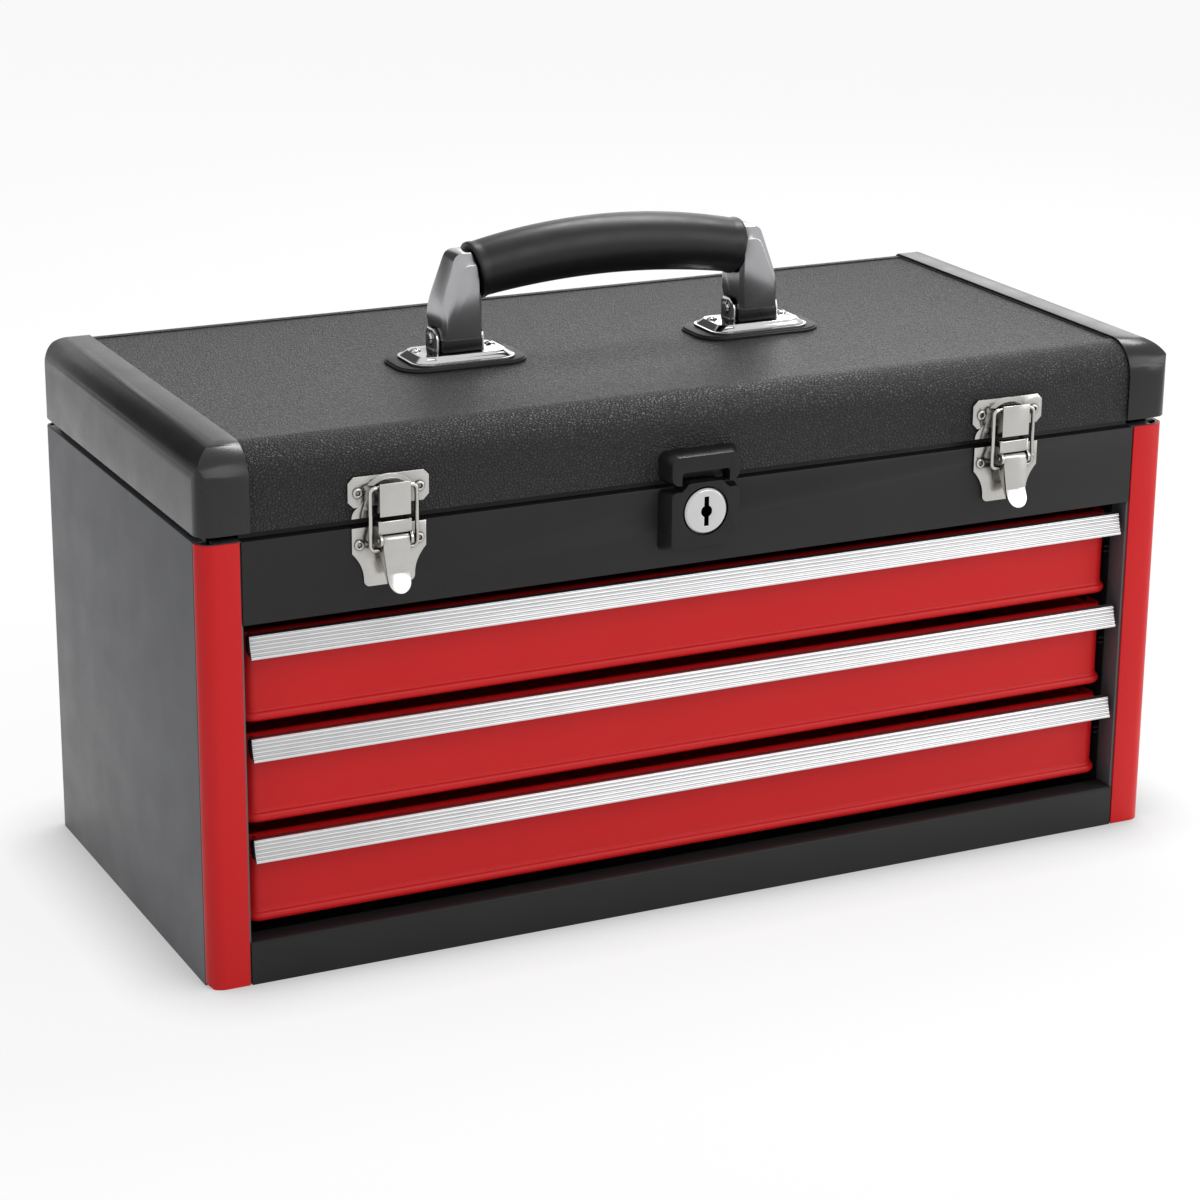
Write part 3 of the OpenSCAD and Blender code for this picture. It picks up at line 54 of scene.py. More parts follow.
camera_up = Vector((0.129565, 0.285877, 0.949467))
camera_back = Vector((-0.417355, -0.852866, 0.313743))
camera_place = Vector((-0.725023, -1.473751, 0.664981))

lens = bpy.data.cameras.new("view_camera")
lens.sensor_width = SENSOR_MM
lens.sensor_fit = "HORIZONTAL"
lens.lens = LENS_PX / PICTURE_PX * SENSOR_MM
lens.clip_start = 0.05
lens.clip_end = 60
camera = bpy.data.objects.new("view_camera", lens)
bpy.context.scene.collection.objects.link(camera)
turned = Matrix((camera_right, camera_up, camera_back)).transposed()
camera.matrix_world = Matrix.Translation(camera_place) @ turned.to_4x4()
bpy.context.scene.camera = camera

# ---------------------------------------------------------------------------
# Studio: white paper below, a white surround, broad daylight from the front and
# three soft lamps, at a level at which a colour shows about as it is written.
# ---------------------------------------------------------------------------


def linear(code):
    """A colour written as sRGB hex, as linear red, green, blue and alpha."""
    parts = [int(code[i:i + 2], 16) / 255 for i in (1, 3, 5)]
    return [c / 12.92 if c <= 0.04045 else ((c + 0.055) / 1.055) ** 2.4 for c in parts] + [1]


def add(tree, kind, settings=None, links=None):
    """Adds one node; a setting is an attribute or else an input, a link gives an input its source."""
    made = tree.nodes.new(kind)
    for name, value in (settings or {}).items():
        if isinstance(name, str) and hasattr(made, name):
            setattr(made, name, value)
        else:
            made.inputs[name].default_value = value
    for name, source in (links or {}).items():
        tree.links.new(source, made.inputs[name])
    return made


def alone(*objects):
    """Leaves only these objects selected, the last one active."""
    if bpy.context.object and bpy.context.object.mode != "OBJECT":
        bpy.ops.object.mode_set(mode="OBJECT")
    bpy.ops.object.select_all(action="DESELECT")
    for o in objects:
        o.select_set(True)
    bpy.context.view_layer.objects.active = objects[-1]


def looked_at(tree):
    """1 where the eye, gloss or glass looks at a surface, 0 where the surface only gives light."""
    path = add(tree, "ShaderNodeLightPath")
    seen = path.outputs["Is Camera Ray"]
    for ray in ("Is Glossy Ray", "Is Transmission Ray"):
        either = add(tree, "ShaderNodeMath", {"operation": "MAXIMUM"}, {0: seen, 1: path.outputs[ray]})
        seen = either.outputs[0]
    return seen


SURROUND = 0.68           # light that the surround gives; it is white to look at
SCREEN_TOWARD = (-0.31, 0.85, 0.42)
SCREEN_EDGE, SCREEN_FULL = 0.84, 0.95     # cosines, from that direction
SCREEN_LEVEL = 0.1
world = bpy.data.worlds.new("studio_surround")
bpy.context.scene.world = world
world.use_nodes = True
tree = world.node_tree
level = add(tree, "ShaderNodeMapRange", {"To Min": SURROUND, "To Max": 1.0}, {"Value": looked_at(tree)})
# a dark screen stands behind the box, high on the left, and the eye itself does not see it
toward = add(tree, "ShaderNodeTexCoord")
screen = add(tree, "ShaderNodeVectorMath", {"operation": "DOT_PRODUCT", 1: SCREEN_TOWARD},
             {0: toward.outputs["Generated"]})
screen = add(tree, "ShaderNodeMapRange", {"From Min": SCREEN_EDGE, "From Max": SCREEN_FULL,
                                          "To Min": 1.0, "To Max": SCREEN_LEVEL},
             {"Value": screen.outputs["Value"]})
eye = add(tree, "ShaderNodeLightPath")
screen = add(tree, "ShaderNodeMath", {"operation": "MAXIMUM"},
             {0: screen.outputs[0], 1: eye.outputs["Is Camera Ray"]})
level = add(tree, "ShaderNodeMath", {"operation": "MULTIPLY"}, {0: level.outputs[0], 1: screen.outputs[0]})
tree.links.new(level.outputs[0], tree.nodes["Background"].inputs["Strength"])
tree.nodes["Background"].inputs["Color"].default_value = (1, 1, 1, 1)

PAPER = "#fdfdfd"
PAPER_WIDE = 24
PAPER_ROUGH = 0.9
PAPER_GLOW = 0.85         # how much of the paper is plain white to look at
CONTACT_REACH = 0.045     # how far above the paper the box still darkens it with painted shadow
CONTACT_FROM, CONTACT_SHADE = 0.45, 0.5
bpy.ops.mesh.primitive_plane_add(size=PAPER_WIDE, location=(0, 0, 0))
floor = bpy.context.object
floor.name = "studio_floor"
paper = bpy.data.materials.new("White background paper")
paper.use_nodes = True
tree = paper.node_tree
shader = tree.nodes["Principled BSDF"]
shader.inputs["Base Color"].default_value = linear(PAPER)
shader.inputs["Roughness"].default_value = PAPER_ROUGH
shader.inputs["Specular IOR Level"].default_value = 0.0
# painted shadow: the glowing paper is darkened by ambient occlusion where the box stands close over it
near = add(tree, "ShaderNodeAmbientOcclusion", {"samples": 8, "Distance": CONTACT_REACH})
near = add(tree, "ShaderNodeMapRange", {"From Min": CONTACT_FROM, "From Max": 1.0,
                                        "To Min": CONTACT_SHADE, "To Max": 1.0},
           {"Value": near.outputs["AO"]})
glow = add(tree, "ShaderNodeEmission", {"Color": linear(PAPER)}, {"Strength": near.outputs[0]})
share = add(tree, "ShaderNodeMath", {"operation": "MULTIPLY", 1: PAPER_GLOW}, {0: looked_at(tree)})
mixed = add(tree, "ShaderNodeMixShader", None,
            {0: share.outputs[0], 1: shader.outputs[0], 2: glow.outputs[0]})
tree.links.new(mixed.outputs[0], tree.nodes["Material Output"].inputs["Surface"])
floor.data.materials.append(paper)


def soft_lamp(name, place, target, size, watts):
    """A softbox that stands at a place and is turned to a target."""
    light = bpy.data.lights.new(name, "AREA")
    light.shape = "RECTANGLE"
    light.size, light.size_y = size
    light.energy = watts
    lamp = bpy.data.objects.new(name, light)
    lamp.location = place
    lamp.rotation_euler = (Vector(target) - Vector(place)).to_track_quat("-Z", "Y").to_euler()
    bpy.context.scene.collection.objects.link(lamp)


SUN_LEVEL = 0.68
SUN_WIDE = math.radians(35)
SUN_TOWARD = Vector((-0.4, 0.8, -0.55))
sun = bpy.data.lights.new("broad_daylight", "SUN")
sun.energy = SUN_LEVEL
sun.angle = SUN_WIDE
sun_lamp = bpy.data.objects.new("broad_daylight", sun)
sun_lamp.rotation_euler = SUN_TOWARD.to_track_quat("-Z", "Y").to_euler()
bpy.context.scene.collection.objects.link(sun_lamp)
soft_lamp("rear_right_softbox", (1.1, 1.5, 0.9), (0.1, 0, 0.25), (1.0, 0.7), 3.5)
soft_lamp("overhead_softbox", (0.63, 0.4, 1.38), (0.05, -0.1, 0.25), (0.8, 0.25), 13)
soft_lamp("front_right_softbox", (1.3, -1.0, 0.55), (0.15, -0.1, 0.12), (0.6, 0.8), 4)

bpy.context.scene.view_settings.view_transform = "Standard"

# ---------------------------------------------------------------------------
# Case: folded sheet steel, 1.2 mm, powder coated after it is folded. The sides and
# the back are a satin grey, lighter than the charcoal front; this lighter grey is painted light, standing in
# for the bright sheen the sides catch, so the light rolls softly over the flat panels.
# ---------------------------------------------------------------------------
MM = 0.001
NOISE_LOW, NOISE_HIGH = 0.3, 0.7          # nearly all of a noise lies between these
COAT_CLOUD = 45 * MM
COAT_PATCH = 22 * MM      # size of the duller and glossier patches
WELD = 0.002 * MM
FLAT = math.radians(0.2)  # faces that meet at less become one
EDGE = 0.25 * MM
BEVEL_OVER, SHADE_OVER = 5, 12            # degrees above the bends that stay smooth


def finish(name, colour, roughness, metallic=0.0, gloss=0.5):
    """A new material with its plain values; returns it with its node tree and shader."""
    made = bpy.data.materials.new(name)
    made.use_nodes = True
    shader = made.node_tree.nodes["Principled BSDF"]
    shader.inputs["Base Color"].default_value = linear(colour)
    shader.inputs["Roughness"].default_value = roughness
    shader.inputs["Metallic"].default_value = metallic
    shader.inputs["Specular IOR Level"].default_value = gloss
    return made, made.node_tree, shader


def powder_coat(name, dark, light, roughness, gloss, peel=1.3 * MM, depth=0.03 * MM):
    """Powder coat: two near shades in soft clouds, uneven gloss and a faint orange peel."""
    made, tree, shader = finish(name, dark, roughness, gloss=gloss)
    place = add(tree, "ShaderNodeTexCoord").outputs["Object"]
    cloud = add(tree, "ShaderNodeTexNoise", {"Scale": 1 / COAT_CLOUD, "Detail": 3}, {"Vector": place})
    shade = add(tree, "ShaderNodeMix", {"data_type": "RGBA", 6: linear(dark), 7: linear(light)},
                {0: cloud.outputs["Fac"]})
    dull = add(tree, "ShaderNodeTexNoise", {"Scale": 1 / COAT_PATCH, "Detail": 4}, {"Vector": place})
    dull = add(tree, "ShaderNodeMapRange", {"From Min": NOISE_LOW, "From Max": NOISE_HIGH,
                                            "To Min": roughness - 0.04, "To Max": roughness + 0.05},
               {"Value": dull.outputs["Fac"]})
    skin = add(tree, "ShaderNodeTexNoise", {"Scale": 1 / peel, "Detail": 3}, {"Vector": place})
    skin = add(tree, "ShaderNodeBump", {"Distance": depth}, {"Height": skin.outputs["Fac"]})
    tree.links.new(shade.outputs[2], shader.inputs["Base Color"])
    tree.links.new(dull.outputs[0], shader.inputs["Roughness"])
    tree.links.new(skin.outputs[0], shader.inputs["Normal"])
    return made


def coat(nodes, material):
    """Gives CAD nodes that keep their own shape their finish."""
    for name in nodes:
        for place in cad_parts[name].material_slots:
            place.material = material


def deburr(name, body, material, edge=EDGE, smooth=30, segments=2):
    """Remakes a node with merged faces, softly broken edges and smooth bends."""
    piece = bpy.data.objects.new(name + "_finished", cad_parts[name].data.copy())
    bpy.context.scene.collection.objects.link(piece)
    alone(piece)
    bpy.ops.object.mode_set(mode="EDIT")
    bpy.ops.mesh.select_all(action="SELECT")
    bpy.ops.mesh.remove_doubles(threshold=WELD)
    bpy.ops.mesh.dissolve_limited(angle_limit=FLAT)
    bpy.ops.object.mode_set(mode="OBJECT")
    rounded = piece.modifiers.new("edges", "BEVEL")
    rounded.width = edge
    rounded.segments = segments
    rounded.limit_method = "ANGLE"
    rounded.angle_limit = math.radians(smooth + BEVEL_OVER)
    bpy.ops.object.modifier_apply(modifier=rounded.name)
    bpy.ops.object.shade_smooth_by_angle(angle=math.radians(smooth + SHADE_OVER))
    piece.data.materials.clear()
    piece.data.materials.append(material)
    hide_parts(name)
    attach(piece, body)
    return piece


# painted light: a lighter copy of the case's dark coat, for the light that falls on the sides
side_lit_grey_coat = powder_coat("Satin grey powder coat, painted lighter for side light", "#4a4b4e", "#505154", 0.42, 0.5)
for name in ("left_side", "right_side", "back_panel"):
    deburr(name, "case", side_lit_grey_coat)

# ---------------------------------------------------------------------------
# Rails: folded strips across the front above and below the drawers, powder
# coated charcoal before they are spot-welded between the sides.
# ---------------------------------------------------------------------------
charcoal_coat = powder_coat("Satin charcoal powder-coated steel", "#1f1f20", "#252526", 0.42, 0.2)
for name in ("front_top_rail", "front_bottom_rail"):
    deburr(name, "case", charcoal_coat)

# ---------------------------------------------------------------------------
# Corner posts: pressed cover strips, coated in a clear bright red that has a
# little more gloss than the case.
# ---------------------------------------------------------------------------
red_coat = powder_coat("Semi-gloss red powder-coated steel", "#b91417", "#c0181b", 0.36, 0.22,
                       1.6 * MM, 0.02 * MM)
for name in ("left_post", "right_post"):
    deburr(name, "case", red_coat)

# ---------------------------------------------------------------------------
# Inside of the case: base pan, floor of the top compartment and the liners that
# carry the drawer channels, all folded from thin sheet and painted black.
# ---------------------------------------------------------------------------
black_coat = powder_coat("Black-painted sheet steel", "#161617", "#1c1c1d", 0.5, 0.3, 0.9 * MM, 0.02 * MM)
coat(("base_pan", "till_floor", "left_liner", "right_liner"), black_coat)

# ---------------------------------------------------------------------------
# Piano hinge: rolled strip steel, drawn through rollers, which leaves fine
# lines along its length.
# ---------------------------------------------------------------------------
METAL_CLOUD = 8 * MM
RECESS = 7 * MM           # a recess narrower than this gets painted shade in metal
RECESS_DARK, RECESS_OPEN = 0.4, 0.97
PAINTED_SHADE_FLOOR = 0.06              # what is left of the colour under the darkest painted shade in a recess


def worked_metal(name, dark, light, roughness, line=0.25 * MM, along=(60, 1, 1), depth=0.004 * MM,
                 spread=0.06):
    """Bare or plated metal: fine working lines along one axis, cloudy tone, and painted shade that darkens
    its recesses.
    """
    made, tree, shader = finish(name, light, roughness, metallic=1.0)
    place = add(tree, "ShaderNodeTexCoord").outputs["Object"]
    drawn = add(tree, "ShaderNodeMapping", {"Scale": [1 / a for a in along]}, {"Vector": place})
    lines = add(tree, "ShaderNodeTexNoise", {"Scale": 1 / line, "Detail": 3}, {"Vector": drawn.outputs[0]})
    dull = add(tree, "ShaderNodeMapRange", {"From Min": NOISE_LOW, "From Max": NOISE_HIGH,
                                            "To Min": roughness - spread, "To Max": roughness + spread},
               {"Value": lines.outputs["Fac"]})
    relief = add(tree, "ShaderNodeBump", {"Distance": depth}, {"Height": lines.outputs["Fac"]})
    cloud = add(tree, "ShaderNodeTexNoise", {"Scale": 1 / METAL_CLOUD, "Detail": 3}, {"Vector": place})
    shade = add(tree, "ShaderNodeMix", {"data_type": "RGBA", 6: linear(dark), 7: linear(light)},
                {0: cloud.outputs["Fac"]})
    # painted shade: ambient occlusion darkens the metal's colour in its narrow recesses
    painted_recess_shade = add(tree, "ShaderNodeAmbientOcclusion", {"samples": 6, "Distance": RECESS})
    painted_recess_shade = add(tree, "ShaderNodeMapRange", {"From Min": RECESS_DARK, "From Max": RECESS_OPEN,
                                             "To Min": PAINTED_SHADE_FLOOR, "To Max": 1.0},
                {"Value": painted_recess_shade.outputs["AO"]})
    shade = add(tree, "ShaderNodeVectorMath", {"operation": "SCALE"},
                {0: shade.outputs[2], "Scale": painted_recess_shade.outputs[0]})
    tree.links.new(shade.outputs[0], shader.inputs["Base Color"])
    tree.links.new(dull.outputs[0], shader.inputs["Roughness"])
    tree.links.new(relief.outputs[0], shader.inputs["Normal"])
    return made


rolled_steel = worked_metal("Rolled strip steel", "#8d8e90", "#9a9b9c", 0.34)
for name, body in (("hinge_case_leaf", "case"), ("hinge_lid_leaf", "lid")):
    deburr(name, body, rolled_steel, 0.12 * MM)
coat(("hinge_pin",), rolled_steel)

# ---------------------------------------------------------------------------
# Draw latches: pressed steel, nickel plated. The base plate with its ears is
# riveted to the case, the strike with its hook to the lid, and the lever pulls a
# bent wire over the hook.
# ---------------------------------------------------------------------------
nickel = worked_metal("Nickel-plated pressed steel", "#b5b3af", "#c6c4c0", 0.2, 0.35 * MM, (1, 1, 12),
                      0.0012 * MM, 0.04)
wire_nickel = worked_metal("Nickel-plated spring wire", "#bdbab4", "#cbc8c2", 0.17, 0.2 * MM, (1, 1, 40),
                           0.001 * MM, 0.03)
TAB_LONG = 8.5 * MM
TAB_BEND = math.radians(24)
for side in ("left", "right"):
    deburr(side + "_latch_base", "case", nickel, 0.3 * MM)
    deburr(side + "_strike", "lid", nickel, 0.3 * MM)
    lever = deburr(side + "_lever", "latch_lever_" + side, nickel)
    # the finger tab at its lower end is bent out from the case
    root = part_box(side + "_lever")[0][2] + TAB_LONG
    bpy.ops.object.mode_set(mode="EDIT")
    bpy.ops.mesh.select_all(action="SELECT")
    bpy.ops.mesh.bisect(plane_co=(0, 0, root), plane_no=(0, 0, 1))
    bpy.ops.object.mode_set(mode="OBJECT")
    for v in lever.data.vertices:
        v.co.y -= max(0, root - v.co.z) * math.tan(TAB_BEND)
deburr("latch_pins", "case", wire_nickel, 0.15 * MM)

# tubular rivet: a drum with a rounded rim rolled out round a deep hollow, facing -Y
RIVET_R = 2.6 * MM
RIVET_RISE = 1.3 * MM
RIVET_SIDES = 28
RIVET_PROFILE = ((0.45, 0.97), (0.8, 0.86), (1.0, 0.66), (0.97, 0.54), (0.8, 0.44), (0.3, 0.38))
BASE_INSET = 3.6 * MM     # from a rivet's middle to the side edge of its plate
STRIKE_INSET = 4.8 * MM
ROUND = math.radians(50)  # facets of a round form that meet at less are smooth
bpy.ops.object.select_all(action="DESELECT")
bpy.ops.mesh.primitive_circle_add(vertices=RIVET_SIDES, radius=RIVET_R, fill_type="NGON",
                                  rotation=(math.pi / 2, 0, 0))
rivet = bpy.context.object
bpy.ops.object.transform_apply(location=False, rotation=True, scale=False)
bpy.ops.object.mode_set(mode="EDIT")
bpy.ops.mesh.select_all(action="SELECT")
rise, wide = 0, RIVET_R
for up, across in RIVET_PROFILE:
    bpy.ops.mesh.extrude_region_move(TRANSFORM_OT_translate={"value": (0, rise - up * RIVET_RISE, 0)})
    ratio = across * RIVET_R / wide
    bpy.ops.transform.resize(value=(ratio, 1, ratio), center_override=(0, -up * RIVET_RISE, 0))
    rise, wide = up * RIVET_RISE, across * RIVET_R
bpy.ops.mesh.select_all(action="SELECT")
bpy.ops.mesh.normals_make_consistent(inside=False)
bpy.ops.object.mode_set(mode="OBJECT")
for node, plate, body, inset in (("latch_base_rivets", "latch_base", "case", BASE_INSET),
                                 ("strike_rivets", "strike", "lid", STRIKE_INSET)):
    low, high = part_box(node)
    heads = []
    for side in ("left", "right"):
        edge_low, edge_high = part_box(side + "_" + plate)
        for x in (edge_low[0] + inset, edge_high[0] - inset):
            head = rivet.copy()
            head.data = rivet.data.copy()
            head.location = (x, low[1] + RIVET_RISE, (low[2] + high[2]) / 2)
            bpy.context.scene.collection.objects.link(head)
            heads.append(head)
    alone(*heads)
    bpy.ops.object.join()
    bpy.ops.object.transform_apply(location=True, rotation=True, scale=True)
    joined = bpy.context.object
    joined.name = node + "_rolled"
    bpy.ops.object.shade_smooth_by_angle(angle=ROUND)
    joined.data.materials.append(wire_nickel)
    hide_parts(node)
    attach(joined, body)
bpy.data.objects.remove(rivet)

# wire bail: half of it is drawn out from its foot in the lever wall, bent twice and
# mirrored, with the crossbar lying in the groove behind the lip of the hook
WIRE_R = 1.0 * MM
WIRE_SIDES = 20
FOOT_X = 7.2 * MM
BAIL_HALF = 11.4 * MM
BEND_R = 2.4 * MM
BEND_STEPS = 8
BAIL_Y = -122.79 * MM
FOOT_Z = 207.149 * MM
BAR_Z = 236.5 * MM
bend_x = BAIL_HALF - BEND_R
for side in ("left", "right"):
    middle = sum(corner[0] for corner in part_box(side + "_latch_base")) / 2
    bpy.ops.object.select_all(action="DESELECT")
    bpy.ops.mesh.primitive_circle_add(vertices=WIRE_SIDES, radius=WIRE_R, fill_type="NGON",
                                      location=(FOOT_X, BAIL_Y, FOOT_Z), rotation=(0, math.pi / 2, 0))
    wire = bpy.context.object
    wire.name = side + "_bail_bent"
    bpy.ops.object.transform_apply(location=True, rotation=True, scale=True)
    bpy.ops.object.mode_set(mode="EDIT")
    bpy.ops.mesh.select_all(action="SELECT")
    for straight, bend_z in (((bend_x - FOOT_X, 0, 0), FOOT_Z + BEND_R),
                             ((0, 0, BAR_Z - FOOT_Z - 2 * BEND_R), BAR_Z - BEND_R)):
        bpy.ops.mesh.extrude_region_move(TRANSFORM_OT_translate={"value": straight})
        bpy.ops.mesh.spin(steps=BEND_STEPS, angle=math.pi / 2, center=(bend_x, BAIL_Y, bend_z),
                          axis=(0, 1, 0))
    bpy.ops.mesh.extrude_region_move(TRANSFORM_OT_translate={"value": (-bend_x, 0, 0)})
    bpy.ops.mesh.delete(type="ONLY_FACE")
    bpy.ops.object.mode_set(mode="OBJECT")
    other = wire.modifiers.new("other_half", "MIRROR")
    other.use_axis = (True, False, False)
    other.merge_threshold = 0.01 * MM
    bpy.ops.object.modifier_apply(modifier=other.name)
    wire.location.x = middle
    bpy.ops.object.transform_apply(location=True, rotation=True, scale=True)
    bpy.ops.object.mode_set(mode="EDIT")
    bpy.ops.mesh.select_all(action="SELECT")
    bpy.ops.mesh.remove_doubles(threshold=0.005 * MM)
    bpy.ops.mesh.normals_make_consistent(inside=False)
    bpy.ops.object.mode_set(mode="OBJECT")
    bpy.ops.object.shade_smooth_by_angle(angle=ROUND)
    wire.data.materials.append(wire_nickel)
    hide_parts(side + "_bail")
    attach(wire, "latch_bail_" + side)

# ---------------------------------------------------------------------------
# Lock: a moulded housing on the rail and a hood on the lid, in black ABS with a
# fine spark-eroded grain, and a turned steel key cylinder.
# ---------------------------------------------------------------------------
MOULD_PATCH = 9 * MM
MOULD_EDGE = 0.7 * MM


def moulded(name, colour, roughness, gloss, grain=0.5 * MM, depth=0.02 * MM):
    """Moulded plastic or rubber: the fine grain of its mould and a slightly uneven gloss."""
    made, tree, shader = finish(name, colour, roughness, gloss=gloss)
    place = add(tree, "ShaderNodeTexCoord").outputs["Object"]
    dull = add(tree, "ShaderNodeTexNoise", {"Scale": 1 / MOULD_PATCH, "Detail": 3}, {"Vector": place})
    dull = add(tree, "ShaderNodeMapRange", {"From Min": NOISE_LOW, "From Max": NOISE_HIGH,
                                            "To Min": roughness - 0.04, "To Max": roughness + 0.04},
               {"Value": dull.outputs["Fac"]})
    skin = add(tree, "ShaderNodeTexNoise", {"Scale": 1 / grain, "Detail": 2}, {"Vector": place})
    skin = add(tree, "ShaderNodeBump", {"Distance": depth}, {"Height": skin.outputs["Fac"]})
    tree.links.new(dull.outputs[0], shader.inputs["Roughness"])
    tree.links.new(skin.outputs[0], shader.inputs["Normal"])
    return made


abs_plastic = moulded("Black ABS moulding", "#181819", 0.3, 0.26)
deburr("lock_housing", "case", abs_plastic, MOULD_EDGE, segments=3)
deburr("lock_hood", "lid", abs_plastic, MOULD_EDGE, segments=3)
turned_steel = worked_metal("Turned and polished steel", "#c6c6c6", "#cfcfcf", 0.24, 0.3 * MM, (1, 1, 1),
                            0.001 * MM, 0.03)
zinc = worked_metal("Zinc-plated steel", "#a5a7a9", "#b3b5b6", 0.36, 0.4 * MM, (20, 1, 1), 0.003 * MM)
deburr("lock_cylinder", "lock_core", turned_steel, 0.15 * MM)
coat(("lock_nut", "lock_cam"), zinc)

# ---------------------------------------------------------------------------
# Lid: the cover is sheet steel with a leather-grain texture coat, and a smooth
# satin cap closes each end.
# ---------------------------------------------------------------------------
GRAIN = 1.6 * MM          # across one cell of the grain, as coarse as the photograph shows it
GRAIN_DEEP = 0.42 * MM
CREASE = 0.22             # width of the slope down to a crease, in cells
FINE_GRAIN = 0.7 * MM
WANDER = 4 * MM           # the creases wander over this length
WANDER_SHARE = 0.0018     # by as many metres
leather_coat, tree, shader = finish("Leather-grain texture coat", "#1f1f20", 0.44, gloss=0.35)
place = add(tree, "ShaderNodeTexCoord").outputs["Object"]
wander = add(tree, "ShaderNodeTexNoise", {"Scale": 1 / WANDER, "Detail": 2}, {"Vector": place})
pushed = add(tree, "ShaderNodeMix", {"data_type": "VECTOR", 0: WANDER_SHARE},
             {4: place, 5: wander.outputs["Color"]})
cells = add(tree, "ShaderNodeTexVoronoi", {"feature": "DISTANCE_TO_EDGE", "Scale": 1 / GRAIN},
            {"Vector": pushed.outputs[1]})
cells = add(tree, "ShaderNodeMapRange", {"From Min": 0.0, "From Max": CREASE},
            {"Value": cells.outputs["Distance"]})
fine = add(tree, "ShaderNodeTexNoise", {"Scale": 1 / FINE_GRAIN, "Detail": 3}, {"Vector": place})
height = add(tree, "ShaderNodeMath", {"operation": "MULTIPLY_ADD", 1: 0.5},
             {0: fine.outputs["Fac"], 2: cells.outputs[0]})
relief = add(tree, "ShaderNodeBump", {"Distance": GRAIN_DEEP}, {"Height": height.outputs[0]})
dull = add(tree, "ShaderNodeMapRange", {"To Min": 0.56, "To Max": 0.42}, {"Value": cells.outputs[0]})
# painted shade: the creases between the grain cells are coloured darker than the cells
shade = add(tree, "ShaderNodeMix", {"data_type": "RGBA", 6: linear("#121213"), 7: linear("#242425")},
            {0: cells.outputs[0]})
tree.links.new(relief.outputs[0], shader.inputs["Normal"])
tree.links.new(dull.outputs[0], shader.inputs["Roughness"])
tree.links.new(shade.outputs[2], shader.inputs["Base Color"])
deburr("lid_cover", "lid", leather_coat, 0.2 * MM)
cap_coat = powder_coat("Smooth satin black powder coat", "#191919", "#1e1e1f", 0.26, 0.36)
for name in ("left_lid_cap", "right_lid_cap"):
    deburr(name, "lid", cap_coat)

# ---------------------------------------------------------------------------
# Handle: two rubber pads and chromed plates screwed to the lid, chromed brackets
# that turn on pins in the plate ears, and a rubber grip on a steel strap.
# ---------------------------------------------------------------------------
rubber = moulded("Black moulded rubber", "#121213", 0.5, 0.3, 0.6 * MM)
grip_rubber = moulded("Soft-touch rubber grip", "#131314", 0.38, 0.3, 0.45 * MM, 0.012 * MM)
chrome = worked_metal("Bright chrome plate", "#c9c9ca", "#d2d2d3", 0.09, 2 * MM, (1, 1, 1), 0.002 * MM, 0.03)
satin_chrome = worked_metal("Satin chrome plate", "#a2a2a4", "#adadaf", 0.2, 0.3 * MM, (1, 1, 20),
                            0.0005 * MM, 0.02)
for side in ("left", "right"):
    deburr(side + "_handle_pad", "lid", rubber, 0.3 * MM, 25, 3)
    deburr(side + "_handle_plate", "lid", chrome, 0.35 * MM, 20, 3)
    deburr(side + "_bracket", "handle", satin_chrome, 0.8 * MM, 12, 3)
deburr("handle_screws", "lid", chrome, 0.1 * MM)
deburr("handle_pins", "lid", chrome, 0.15 * MM)

# the grip: a ring spun along the arch, swollen in the middle, with a rolled lip at each end
GRIP_MIDDLE = Vector((-3.8 * MM, -2 * MM, -49.55 * MM))
GRIP_BEND = 360 * MM
GRIP_HALF = 73 / 360      # half its angle round the centre of the arch
GRIP_SIDES = 64
GRIP_STEPS = 72
END_R = 13.6 * MM
MIDDLE_R = 14.8 * MM
LIP = 0.6 * MM
LIP_FROM, LIP_SLOPE = 0.955, 0.012        # shares of the half angle
bpy.ops.object.select_all(action="DESELECT")
start = GRIP_MIDDLE + GRIP_BEND * Vector((-math.sin(GRIP_HALF), 0, math.cos(GRIP_HALF)))
bpy.ops.mesh.primitive_circle_add(vertices=GRIP_SIDES, radius=END_R, location=start,
                                  rotation=(0, math.pi / 2 - GRIP_HALF, 0))
grip = bpy.context.object
grip.name = "handle_grip_moulded"
bpy.ops.object.transform_apply(location=True, rotation=True, scale=True)
bpy.ops.object.mode_set(mode="EDIT")
bpy.ops.mesh.select_all(action="SELECT")
bpy.ops.mesh.spin(steps=GRIP_STEPS, angle=2 * GRIP_HALF, center=GRIP_MIDDLE, axis=(0, -1, 0))
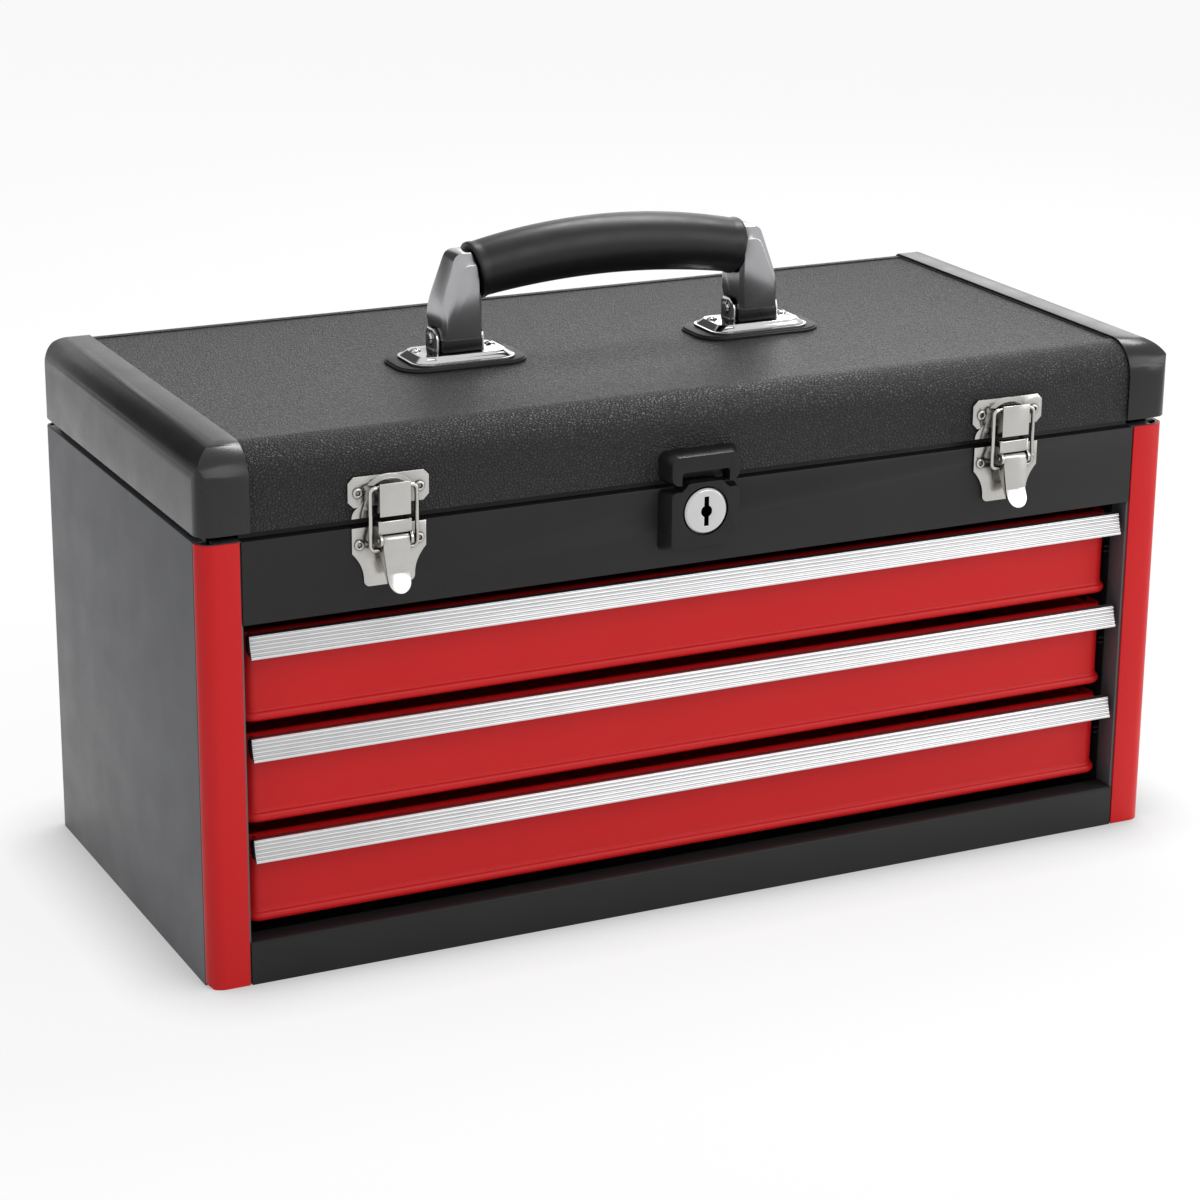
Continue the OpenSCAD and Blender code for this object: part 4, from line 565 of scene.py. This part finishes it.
bpy.ops.object.mode_set(mode="OBJECT")
for v in grip.data.vertices:
    out = v.co - GRIP_MIDDLE
    turn = math.atan2(out.x, out.z)
    t = turn / GRIP_HALF
    spine = GRIP_MIDDLE + GRIP_BEND * Vector((math.sin(turn), 0, math.cos(turn)))
    radius = END_R + (MIDDLE_R - END_R) * (1 - t * t)
    radius += LIP * max(0, min(1, (abs(t) - LIP_FROM) / LIP_SLOPE))
    v.co = spine + (v.co - spine).normalized() * radius
alone(grip)
bpy.ops.object.mode_set(mode="EDIT")
bpy.ops.mesh.select_all(action="DESELECT")
bpy.ops.mesh.select_mode(type="EDGE")
bpy.ops.mesh.select_non_manifold()
bpy.ops.mesh.edge_face_add()
bpy.ops.mesh.select_all(action="SELECT")
bpy.ops.mesh.normals_make_consistent(inside=False)
bpy.ops.object.mode_set(mode="OBJECT")
rounded = grip.modifiers.new("rolled_ends", "BEVEL")
rounded.width = 0.8 * MM
rounded.segments = 3
rounded.limit_method = "ANGLE"
rounded.angle_limit = math.radians(50)
bpy.ops.object.modifier_apply(modifier=rounded.name)
bpy.ops.object.shade_smooth_by_angle(angle=math.radians(40))
grip.data.materials.append(grip_rubber)
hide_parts("handle_grip")
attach(grip, "handle")
deburr("handle_feet", "handle", abs_plastic, 0.4 * MM)
coat(("handle_strap",), zinc)

# ---------------------------------------------------------------------------
# Drawers: folded trays and fronts in the red of the posts, with an extruded
# aluminium pull hooked over the ledge, black end plugs and zinc-plated slides.
# ---------------------------------------------------------------------------
aluminium = worked_metal("Brushed extruded aluminium", "#cfcfd0", "#d8d8d9", 0.34, 0.22 * MM, (160, 1, 1),
                         0.0015 * MM, 0.04)
for n in (1, 2, 3):
    drawer = f"drawer_{n}"
    coat((drawer + "_tray",), red_coat)
    deburr(drawer + "_front", drawer, red_coat)
    deburr(drawer + "_pull", drawer, aluminium, 0.15 * MM)
    deburr(drawer + "_pull_ends", drawer, abs_plastic, 0.2 * MM)
    coat((drawer + "_slides",), zinc)
